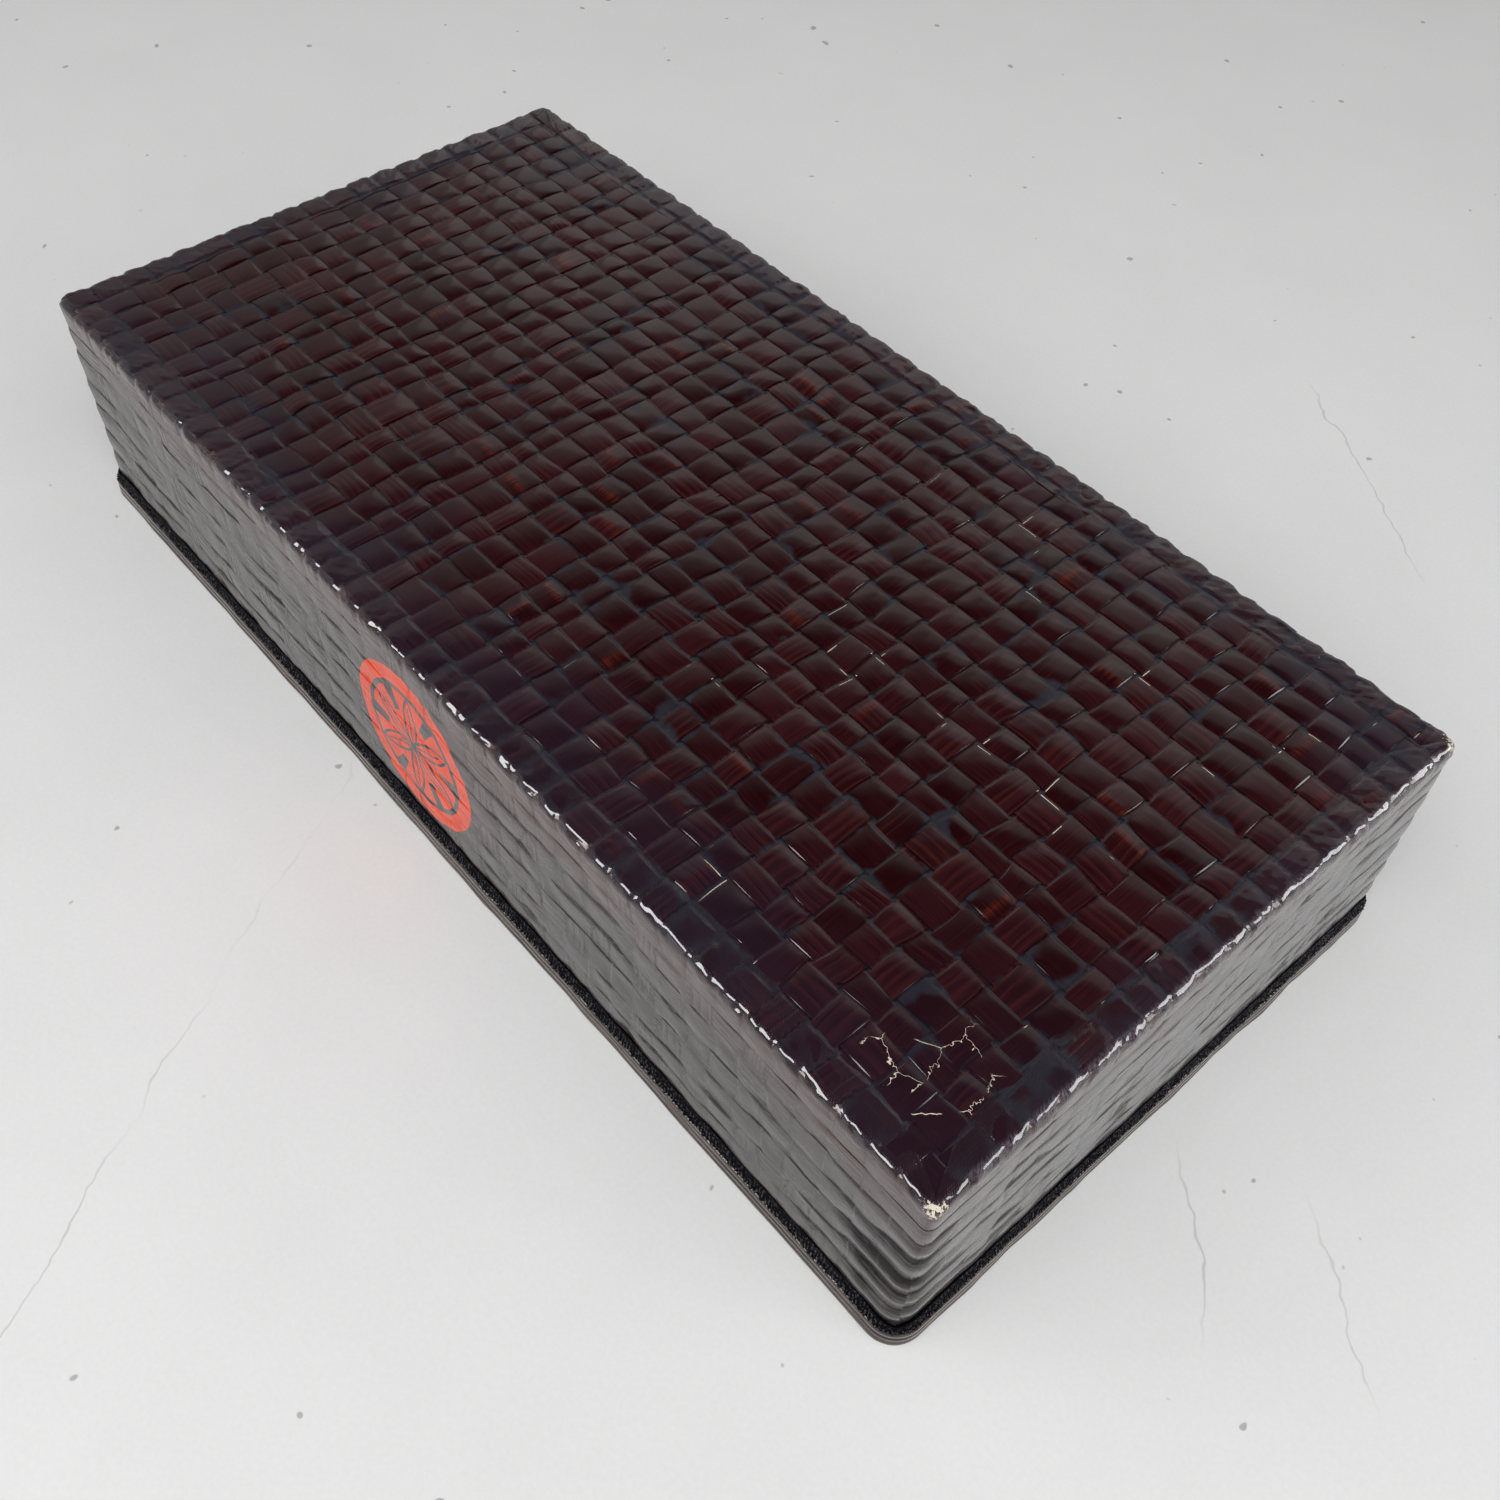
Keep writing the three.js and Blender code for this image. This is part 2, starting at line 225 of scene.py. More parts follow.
class StageLook(bpy.types.PropertyGroup):
    """Camera and floor"""

    eye: a_row("Eye", "Place of the camera", (0.5625, -0.4647, 0.8415), unit="LENGTH")
    aim: a_row("Aim", "Point in the middle of the picture", (0.1848, -0.1041, 0.178), unit="LENGTH")
    roll: a_value("Roll", "Turn of the camera about its view", math.radians(3.23), subtype="ANGLE")
    lens: a_value("Lens", "Focal length on a sensor 36 mm wide", 36.36, unit="CAMERA")
    floor: a_colour("Floor", "Pale floor", (0.76, 0.76, 0.76))
    fade: a_row("Fade", "Distances at which the floor is gone, and is whole", (2.2, 1.4), unit="LENGTH")


SETTINGS = {
    "basket_sizes": BasketSizes,
    "basket_weave": WeaveLook,
    "basket_cloth": ClothLook,
    "basket_hoop": HoopLook,
    "basket_colours": Colours,
    "basket_mark": Mark,
    "basket_stage": StageLook,
}


def settings(name):
    return getattr(bpy.context.scene, f"basket_{name}")


# Array helpers

def eased(share):
    """The share, held to 0..1 and eased at both ends: 3 s^2 - 2 s^3."""
    share = np.clip(share, 0, 1)
    return share * share * (3 - 2 * share)


def ramp(value, start, end):
    """0 up to the start, 1 from the end on, and eased between; the start may be the greater."""
    return eased((value - start) / (end - start))


def drift(u, v, cells, seed):
    """Smooth random field from -1 to 1. It has random values at whole u and v, eases from one to the next
    along each axis, and repeats after the given number of cells."""
    table = np.random.default_rng(seed).uniform(-1, 1, cells)
    u, v = np.broadcast_arrays(u, v)
    i, j = np.floor(u).astype(int), np.floor(v).astype(int)
    across, along = eased(u - i), eased(v - j)

    def at(step_i, step_j):
        return table[(i + step_i) % cells[0], (j + step_j) % cells[1]]

    low = at(0, 0) * (1 - across) + at(1, 0) * across
    high = at(0, 1) * (1 - across) + at(1, 1) * across
    return low * (1 - along) + high * along


def loft(name, front, back, values=None, ring=False):
    """Closed skin over a row of point loops, each a seen front followed by a hidden back, [row, point].

    The front is shaded smooth up to its sharp borders, and the rest is flat. The row closes on itself in a
    ring, and otherwise one face closes each end. Values belong to the front's points, and are 0 on the back.
    The sign of the enclosed volume, a third of the sum of every face's area times its distance from the
    origin, turns all faces outwards.
    """
    loops = np.concatenate([front, back], axis=1)
    rows, points = loops.shape[:2]
    shown = front.shape[1]
    number = np.arange(rows * points).reshape(rows, points)
    here, there = (number, np.roll(number, -1, axis=0)) if ring else (number[:-1], number[1:])
    quads = np.stack([here, there, np.roll(there, -1, axis=1), np.roll(here, -1, axis=1)], axis=-1)
    quads = quads.reshape(-1, 4)
    caps = [] if ring else [number[0], number[-1][::-1]]
    place = loops.reshape(-1, 3)
    fans = [np.stack([np.full(points - 2, cap[0]), cap[1:-1], cap[2:]], axis=-1) for cap in caps]
    corners = place[np.concatenate([quads[:, [0, 1, 2]], quads[:, [0, 2, 3]], *fans])]
    volume = np.einsum("ij,ij->", corners[:, 0], np.cross(corners[:, 1], corners[:, 2])) / 6
    if volume < 0:
        quads = quads[:, ::-1]
        caps = [cap[::-1] for cap in caps]
    starts = np.cumsum([0] + [4] * len(quads) + [points] * len(caps))[:-1]
    smooth = np.zeros(len(starts), dtype=bool)
    smooth[:len(quads)] = np.tile(np.arange(points) < shown - 1, len(here))

    mesh = bpy.data.meshes.new(name)
    mesh.vertices.add(len(place))
    mesh.vertices.foreach_set("co", place.astype(np.float32).ravel())
    mesh.loops.add(4 * len(quads) + points * len(caps))
    mesh.loops.foreach_set("vertex_index", np.concatenate([quads.ravel(), *caps]).astype(np.int32))
    mesh.polygons.add(len(starts))
    mesh.polygons.foreach_set("loop_start", starts.astype(np.int32))
    mesh.polygons.foreach_set("use_smooth", smooth)
    mesh.update(calc_edges=True)
    ends = np.empty(2 * len(mesh.edges), dtype=np.int32)
    mesh.edges.foreach_get("vertices", ends)
    row, column = np.divmod(ends.reshape(-1, 2), points)
    at_cap = (row[:, 0] == row[:, 1]) & np.isin(row[:, 0], [] if ring else [0, rows - 1])
    at_border = (column[:, 0] == column[:, 1]) & np.isin(column[:, 0], [0, shown - 1])
    mesh.edges.foreach_set("use_edge_sharp", at_cap | at_border)
    for key, value in (values or {}).items():
        kind, field = ("FLOAT", "value") if value.ndim == 2 else ("FLOAT_VECTOR", "vector")
        padded = np.pad(value, [(0, 0), (0, points - shown)] + [(0, 0)] * (value.ndim - 2))
        layer = mesh.attributes.new(key, kind, "POINT")
        layer.data.foreach_set(field, padded.astype(np.float32).ravel())
    if mesh.validate():
        raise RuntimeError(f"{name}: the mesh has faulty faces")
    return bpy.data.objects.new(name, mesh)


def filled(first, second, fill):
    """The greater height, with the crease between the two filled over a height."""
    return np.maximum(first, second) + np.maximum(fill - np.abs(first - second), 0) ** 2 / (4 * fill)


def put(piece, body, node, material):
    """A new piece on its body, in its finish, in the place of the frame's node."""
    bpy.context.scene.collection.objects.link(piece)
    piece.data.materials.append(material)
    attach(piece, body)
    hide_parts(node)


class Tray:
    """A woven tray as rounded rectangles that narrow from the mouth, on z = 0, to the panel on top.

    Half length, half width and corner radius run in straight lines from the mouth's to the panel's.
    """

    def __init__(self, name):
        sizes, look = settings("sizes"), settings("weave")
        low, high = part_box(f"{name}_woven_shell")
        panel = sizes.lid_panel if name == "lid" else sizes.base_panel
        self.name = name
        self.upright = name == "lid"
        self.mouth_z = low.z if self.upright else high.z
        self.height = high.z - low.z
        self.mouth = (high.x, high.y, sizes.mouth_corner)
        self.panel = (panel[0] / 2, panel[1] / 2, sizes.panel_corner)
        self.edge = sizes.edge_radius
        self.wall = sizes.wall
        self.rows = look.wall_rows
        self.row = self.height / self.rows
        self.strips = [round(length / look.pitch / 2) * 2 for length in panel]
        self.pitch = [length / count for length, count in zip(panel, self.strips)]

    def place(self, x, y, z):
        """Points in the object's frame; the base's tray is turned over about X."""
        turn = 1 if self.upright else -1
        return np.stack(np.broadcast_arrays(x, turn * y, self.mouth_z + turn * z), axis=-1)

    def side_name(self, side):
        return side if self.upright else TURNED_OVER[side]

    def ring(self, side, u, z, grow, lift_z=0):
        """Point on one side of the rounded rectangle at height z, grown by a distance. u runs over the
        side's length from the middle of one corner arc, -1, to the middle of the next, 1."""
        share = np.clip(z / self.height, 0, 1)
        a, b, r = (mouth + (panel - mouth) * share for mouth, panel in zip(self.mouth, self.panel))
        half_run, half_out = (a, b) if side in ("front", "back") else (b, a)
        radius = np.maximum(r + grow, LEAST_RADIUS)
        straight = half_run + grow - radius
        run = u * (straight + radius * math.pi / 4)
        turn = np.maximum(np.abs(run) - straight, 0) / radius
        along = np.sign(run) * (np.minimum(np.abs(run), straight) + radius * np.sin(turn))
        out = half_out + grow - radius + radius * np.cos(turn)
        (run_x, run_y), (out_x, out_y) = SIDES[side]
        return self.place(along * run_x + out * out_x, along * run_y + out * out_y, z + lift_z)

    def over_edge(self, k):
        """Height, inset and slope angle at k rows below the top edge: down the wall for k above the edge's
        own share of a row, along the panel for k below minus that share, and a quarter arc between."""
        share = self.edge / self.row
        slope = np.clip((share - k) / (2 * share), 0, 1) * math.pi / 2
        on_wall = np.maximum(k - share, 0) * self.row
        on_panel = np.maximum(-k - share, 0) * self.row
        z = self.height - self.edge * (1 - np.sin(slope)) - on_wall
        return z, self.edge * (1 - np.cos(slope)) + on_panel, slope

    def skin(self, side, u, k, lift):
        """Point on wall, edge or panel of one side, lifted along the surface's own direction."""
        z, inset, slope = self.over_edge(k)
        return self.ring(side, u, z, lift * np.cos(slope) - inset, lift * np.sin(slope))


class Weave:
    """Plain weave of numbered strips, one pitch apart: standing ones along p, lying ones along q.

    A standing strip is over a lying one where their numbers' sum has the weave's parity. Along its run a
    strip arches by rise * (1 - |2 f|^arch) over a crossing and dips by as much under the next; across, it
    falls by camber * x^2 to its lips at x = -1 and 1, rounds off, most at its ends, and leans a little. The
    surface is the higher strip, or the lacquered ground between them, with the creases filled.
    """

    # Places of the mesh lines over a strip's width, on the lid and on the base
    FINE = (0.0, 0.04, 0.14, 0.30, 0.5, 0.70, 0.86, 0.96, 1.0)
    PLAIN = (0.0, 0.12, 0.5, 0.88, 1.0)

    # Sideways places on a strip: where it ends, and where the share of its lip starts, is full and ends
    STRIP_END = 1.004
    LIP_START, LIP_FULL, LIP_END = 0.925, 0.99, 1.07
    HIDDEN = -1.0

    def __init__(self, parity, covers, seed, relief, rounding, fill):
        self.look = settings("weave")
        self.parity = parity
        self.covers = covers
        self.rise = self.look.rise * relief
        self.rounding = rounding
        self.fill = fill
        rng = np.random.default_rng(seed)
        shape = [len(cover) for cover in covers]
        self.leans = [self.look.lean * rng.uniform(-1, 1, count) for count in shape]
        self.lift = rng.uniform(-1, 1, shape)
        self.tint = rng.uniform(0, 1, shape)
        self.has_knot = rng.uniform(0, 1, shape) < self.look.knots
        self.knot_place = rng.uniform(-0.28, 0.28, shape)

    @staticmethod
    def strip_covers(count, cover, rng):
        return np.clip(rng.normal(cover, settings("weave").cover_spread, count), cover - 0.06, 0.985)

    def lines(self, axis, first, last, stops):
        """Places of the mesh lines across the strips: the middle of each gap, the foot of each lip
        and the stops over the strip's width."""
        cover = self.covers[axis][:, None]
        number = np.arange(len(cover))[:, None]
        lip = self.look.lip / self.look.pitch
        foot = np.minimum(lip, (1 - cover) / 2 * 0.8)
        over = number + 0.5 + (np.array(stops) - 0.5) * cover
        feet = number + 0.5 + np.array([-0.5, 0.5]) * (cover + 2 * foot)
        every = np.concatenate([number, feet, over], axis=1).ravel()
        inner = every[(every > first + lip) & (every < last - lip)]
        return np.concatenate([[first], np.sort(inner), [last]])

    def strip(self, across, along, over, cover, lean, rounding, lift, knot, knot_place):
        """Height, sideways place, level (1 on a crown, 0 in a dip) and knot of one set of strips."""
        look = self.look
        x = 2 * across / cover
        arch = 1 - np.abs(2 * along) ** look.arch
        edge = (rounding + look.thumb * (1 - np.clip(arch, 0, 1))) * np.minimum(np.abs(x), 1) ** 5
        crown = np.where(over > 0, 1 - edge, 1)
        height = over * self.rise * arch * crown * (1 + look.uneven * lift) - look.camber * x * x + lean * x
        place = (along - knot_place) * look.pitch / look.knot_width
        ridge = np.exp(-place ** 2) * knot * (over > 0)
        height = height + look.knot_rise * ridge * (1 - 0.5 * x * x)
        level = (1 + over * arch) / 2 - 0.10 * x ** 4
        return np.where(np.abs(x) > self.STRIP_END, self.HIDDEN, height), x, level, ridge

    def lip_share(self, x):
        share = (np.abs(x) - self.LIP_START) / (self.LIP_FULL - self.LIP_START)
        return np.clip(share, 0, 1) * (np.abs(x) < self.LIP_END)

    def surface(self, p, q, wrap=0.0):
        """Height over the mat's middle, and what the finish needs to know of the strip on top. As wrap
        goes to 1 the lying strips stay up, side by side, and cover the standing ones. The attribute lip
        holds the shares of the far lips, of the near lips and of a wall's folds; a lip has a share only
        where its strip is on top or no other covers it."""
        number = [np.floor(p).astype(int), np.floor(q).astype(int)]
        within = [p - number[0] - 0.5, q - number[1] - 0.5]
        over = np.where((number[0] + number[1] - self.parity) % 2 == 0, 1.0, -1.0)
        i, j = (index % len(cover) for index, cover in zip(number, self.covers))
        crossing = (self.lift[i, j], self.has_knot[i, j], self.knot_place[i, j])
        stand, stand_x, stand_level, stand_knot = self.strip(
            within[0], within[1], over, self.covers[0][i], self.leans[0][i], self.rounding[0], *crossing)
        lie, lie_x, lie_level, lie_knot = self.strip(
            within[1], within[0], -over, self.covers[1][j], self.leans[1][j], self.rounding[1], *crossing)
        flat = self.rise * (1 - self.rounding[1] * np.minimum(np.abs(lie_x), 1) ** 3.5)
        bent = self.leans[1][j] * lie_x - self.look.camber * lie_x * lie_x
        lie = np.where(np.abs(lie_x) > self.STRIP_END, lie, lie + wrap * (0.6 * flat + bent - lie))
        stand = stand - wrap * self.rise
        lie_level = lie_level + wrap * (1 - lie_level)
        top = stand >= lie
        bare = np.maximum(stand, lie) < self.HIDDEN / 2
        height = filled(filled(stand, lie, self.fill), -self.look.ground * self.rise, self.fill)
        stand_lip = self.lip_share(stand_x) * ((over > 0) | (np.abs(lie_x) > 1))
        lie_lip = self.lip_share(lie_x) * ((over < 0) | (np.abs(stand_x) > 1))
        far = np.maximum(stand_lip * (stand_x < 0), lie_lip * (lie_x > 0))
        near = np.maximum(stand_lip * (stand_x > 0), lie_lip * (lie_x < 0))
        strip_number = np.where(top, i * 0.37, 50 + j * 0.61)
        along = np.where(top, q, p) * self.look.pitch
        grain = np.stack([np.where(top, stand_x, lie_x), along, strip_number], axis=-1)
        return height, {
            "level": np.where(bare, 0.1, np.where(top, stand_level, lie_level)),
            "grain": grain,
            "tint": self.tint[i, j],
            "lip": np.stack([far, near, 0 * far], axis=-1),
            "knot": np.where(top, stand_knot, lie_knot),
        }


class Mat:
    """The whole weave of one tray: its panel, and its walls as one band of strips round the tray.

    The lines between strips are off by random steps that panel and walls share. They also stray by a
    smooth random field that dies out at the tray's edges, corners and mouth, so that panel and walls meet.
    Places on the mat are numbers of strips: p and q on the panel, s along a wall and k rows down it.
    """

    # Strips from an edge over which strays grow to their full size, and from the mouth
    QUIET, QUIET_MOUTH = 1.6, 1.2

    # Metres from the panel's edge over which its swell grows, and the grain of the swell
    SWELL_EDGE = 0.04
    SWELL_GRAIN = (0.07, 0.06)

    # Share of a row that a broad shelf and a narrow slit take to stand out
    SHELF_SHARE, SLIT_SHARE = 0.30, 0.09

    def __init__(self, tray):
        look = settings("weave")
        self.tray = tray
        self.look = look
        self.seed = 11 if tray.upright else 47
        rng = np.random.default_rng(self.seed)
        long, wide = tray.strips
        counts = (long, wide, tray.rows)
        covers = [Weave.strip_covers(long, look.cover, rng), Weave.strip_covers(wide, look.cover, rng),
                  Weave.strip_covers(tray.rows + 1, look.row_cover, rng)]
        steps = [np.clip(rng.normal(0, look.width_spread, count + 1), -0.16, 0.16) for count in counts]
        for step in steps:
            step[[0, -1]] = 0
        self.steps = steps
        standing = np.concatenate([covers[0], covers[1], covers[0][::-1], covers[1][::-1]])
        self.panel = Weave(0, covers[:2], self.seed + 1, 1.0, look.panel_round, look.panel_fill)
        self.walls = Weave(1, [standing, covers[2]], self.seed + 2,
                           look.wall_relief, look.wall_round, look.wall_fill)
        self.walls.leans[1] = -look.wall_lean * rng.uniform(0.3, 1.2, tray.rows + 1)
        self.first = {"front": 0, "right": long, "back": long + wide, "left": 2 * long + wide}
        self.count = {"front": long, "right": wide, "back": long, "left": wide}
        self.stops = Weave.FINE if tray.upright else Weave.PLAIN

    def off(self, axis, s):
        """How far the line at strip number s is off."""
        return np.interp(s, np.arange(len(self.steps[axis])), self.steps[axis])

    def off_on_wall(self, side, s):
        axis = 0 if side in ("front", "back") else 1
        if side in ("front", "right"):
            return self.off(axis, s)
        return -self.off(axis, self.count[side] - s)

    def stray(self, p, q, window, seed):
        """How far lines p stray, in strips."""
        field = (0.50 * drift(p / 1.4, q / 3.1, (97, 89), seed)
                 + 0.35 * drift(p / 5.3, q / 2.2, (61, 53), seed + 1)
                 + 0.30 * drift(p / 1.1, q / 0.9, (103, 79), seed + 2))
        return self.look.wander / self.look.pitch * field * window

    def panel_stray(self, p, q):
        long, wide = self.tray.strips
        edge = [self.tray.edge / pitch for pitch in self.tray.pitch]
        window = (ramp(np.minimum(p, long - p), edge[0], edge[0] + self.QUIET)
                  * ramp(np.minimum(q, wide - q), edge[1], edge[1] + self.QUIET))
        return self.stray(p, q, window, self.seed + 3), self.stray(q, p, window, self.seed + 203)

    def panel_swell(self, x, y):
        """Slow swell of the panel, dying out at its edges."""
        a, b = self.tray.panel[:2]
        window = (ramp(np.abs(x), a, a - self.SWELL_EDGE) * ramp(np.abs(y), b, b - self.SWELL_EDGE))
        grain_x, grain_y = self.SWELL_GRAIN
        field = drift(x / grain_x + 20, y / grain_y + 20, (41, 43), self.seed + 7)
        return self.look.unevenness * window * field

    def panel_point(self, p, q):
        """Panel point at strip numbers p and q, strayed, lifted by weave and swell."""
        tray = self.tray
        height, values = self.panel.surface(p, q)
        stray_p, stray_q = self.panel_stray(p, q)
        x = (p + self.off(0, p) + stray_p) * tray.pitch[0] - tray.panel[0]
        y = (q + self.off(1, q) + stray_q) * tray.pitch[1] - tray.panel[1]
        z = tray.height + height - self.look.sink + self.panel_swell(x, y)
        return tray.place(x, y, z), values

    def wall_surface(self, side, s, k):
        """Weave of the wall at strip numbers. Round the corners only the lying strips show, and pools of
        lacquer smooth it in places."""
        look, t = self.look, s + self.first[side]
        from_corner = np.minimum(s, self.count[side] - s)
        wrap = look.wall_wrap + (1 - look.wall_wrap) * ramp(from_corner, 1.9, 0.3)
        height, values = self.walls.surface(t, k, wrap * ramp(k, 0, 0.8))
        pool = eased(1.5 * drift(t / 0.83, k / 0.31, (401, 61), self.seed + 13) + 0.95) * ramp(k, 0.3, 0.8)
        pool = pool * (0.40 + 0.60 * ramp(from_corner, 1.0, 3.5)) * (1 - 0.5 * ramp(k, 6.2, 7.4))
        swell = np.sin(np.pi * t) * np.sin(np.pi * k) * (1 - wrap)
        smooth = self.walls.rise * (0.45 + look.pillow * swell)
        height = height + look.pools * pool * (smooth - height)
        strained = self.strained(side, s)
        values["lip"][..., 2] = self.folds(t, k, from_corner, strained)
        return height + self.shelves(t, k, from_corner, strained), values

    def strained(self, side, s):
        """Share 1 at the lid's corner between front and right, where the strips stand out most."""
        if self.tray.upright and side == "front":
            return ramp(s - self.count[side], -4.5, -2.5)
        if self.tray.upright and side == "right":
            return ramp(s, 1.3, 0.0)
        return 0 * s

    def folds(self, t, k, from_corner, strained):
        """Share of the painted shade in the fold above each lip that stands out at the strained corner,
        broken by drifts.
        """
        down = k - np.floor(k)
        fold = ramp(down, -0.08, 0.02) * ramp(down, 0.30, 0.18) + ramp(down, 0.93, 0.99)
        broken = 0.55 + 0.60 * drift(t / 0.9, np.floor(k + 0.1), (199, 31), self.seed + 19)
        corner = strained * ramp(from_corner, 3.4, 1.2) * ramp(k, 1.6, 4.1)
        return corner * fold * np.clip(broken, 0, 1)

    def shelves(self, t, k, from_corner, strained):
        """Height of lips that stand out: down each row it rises fast over the rise's share and falls slowly
        over the rest. Broad shelves bend round the corners, and short slits lie scattered on the walls."""
        look, row, down = self.look, np.floor(k), k - np.floor(k)
        corner = ramp(from_corner, 3.0, 0.4) * ramp(k, 0.8, 3.8)
        stout = look.shelf * (look.other_shelf + (1 - look.other_shelf) * strained)
        broad = corner * stout * (0.60 + 0.40 * drift(t / 2.1, row, (97, 31), self.seed + 15))
        slits = ramp(drift(t / 0.9, row, (499, 31), self.seed + 17), 0.25, 0.65)
        narrow = (1 - corner) * look.slit * slits
        height = 0
        for amount, share in ((broad, self.SHELF_SHARE), (narrow, self.SLIT_SHARE)):
            step = np.where(down < share, 2 * eased(down / share) - 1, 1 - 2 * (down - share) / (1 - share))
            height = height + amount * step * ramp(k, 0.9, 1.2)
        return height

    def wall_stray(self, side, s, k):
        share, rows = self.tray.edge / self.tray.row, self.tray.rows
        from_corner = np.minimum(s, self.count[side] - s)
        window = (ramp(from_corner, 0, self.QUIET) * ramp(k, share, share + self.QUIET)
                  * ramp(k, rows, rows - self.QUIET_MOUTH))
        seed = self.seed + 11 + list(SIDES).index(side)
        return self.stray(s, k, window, seed), self.stray(k, s, window, seed + 20)

    def wall_swell(self, s, k):
        """Slow swell of a wall, and small dents, dying out at its edge and mouth."""
        rows = self.tray.rows
        window = ramp(k, 0.4, 1.9) * ramp(k, rows, rows - 1.5)
        slow = drift(s / 3.3, k / 2.9, (59, 31), self.seed + 9)
        dents = drift(s / 1.2, k / 0.27, (83, 67), self.seed + 10)
        return self.look.unevenness * window * (slow + 0.22 * dents)

    def wall_point(self, side, s, k):
        height, values = self.wall_surface(side, s, k)
        stray_s, stray_k = self.wall_stray(side, s, k)
        u = 2 * (s + self.off_on_wall(side, s) + stray_s) / self.count[side] - 1
        lift = height - self.look.sink + self.wall_swell(s, k)
        return self.tray.skin(side, u, k + self.off(2, k) + stray_k, lift), values

    def edge_values(self, side, u, k):
        """The weave's values under an edge cloth, read from the panel's strips or the wall's, and the
        place along the edge in strips. Strays and steps are undone to first order."""
        tray = self.tray
        _, inset, _ = tray.over_edge(k)
        (run_x, run_y), (out_x, out_y) = SIDES[side]
        half_run, half_out = tray.panel[:2] if side in ("front", "back") else tray.panel[1::-1]
        along, out = u * (half_run - inset), half_out - inset
        p = (along * run_x + out * out_x + tray.panel[0]) / tray.pitch[0]
        q = (along * run_y + out * out_y + tray.panel[1]) / tray.pitch[1]
        stray_p, stray_q = self.panel_stray(p, q)
        long, wide = tray.strips
        on_panel = self.panel.surface(
            np.clip(p - self.off(0, p) - stray_p, 0.01, long - 0.01),
            np.clip(q - self.off(1, q) - stray_q, 0.01, wide - 0.01))[1]
        s = np.clip((u + 1) / 2 * self.count[side], 0.01, self.count[side] - 0.01)
        stray_s, stray_k = self.wall_stray(side, s, k)
        s = s - self.off_on_wall(side, s)
        on_wall = self.wall_surface(side, s - stray_s, k - stray_k - self.off(2, k))[1]
        over_top = np.asarray(k < 0)
        values = {
            key: np.where(over_top if on_wall[key].ndim == over_top.ndim else over_top[..., None],
                          on_panel[key], on_wall[key])
            for key in on_wall
        }
        return values, s


# Materials

class Flow:
    """A socket of a node tree, on which Python's operators add Math nodes."""

    def __init__(self, looks, socket):
        self.looks = looks
        self.socket = socket

    def math(self, operation, *values, **settings_):
        sockets = dict(enumerate((self, *values)))
        return self.looks.add("ShaderNodeMath", {"operation": operation, **settings_}, sockets)

    def __add__(self, other):
        return self.math("ADD", other)

    def __sub__(self, other):
        return self.math("SUBTRACT", other)

    def __rsub__(self, other):
        return self.looks.add("ShaderNodeMath", {"operation": "SUBTRACT"}, {0: other, 1: self})

    def __mul__(self, other):
        return self.math("MULTIPLY", other)

    def __truediv__(self, other):
        return self.math("DIVIDE", other)

    def __pow__(self, other):
        return self.math("POWER", other)

    __radd__ = __add__
    __rmul__ = __mul__

    def __abs__(self):
        return self.math("ABSOLUTE")

    def either(self, other):
        return self.math("MAXIMUM", other)

    def between(self, low, high):
        """0 up to low, 1 from high on, and eased between; low may be the greater."""
        return self.looks.add(
            "ShaderNodeMapRange", {"interpolation_type": "SMOOTHSTEP"},
            {"Value": self, "From Min": low, "From Max": high})

    def waves(self, length):
        """Sine with one wave in each length."""
        return (self * (2 * math.pi / length)).math("SINE")


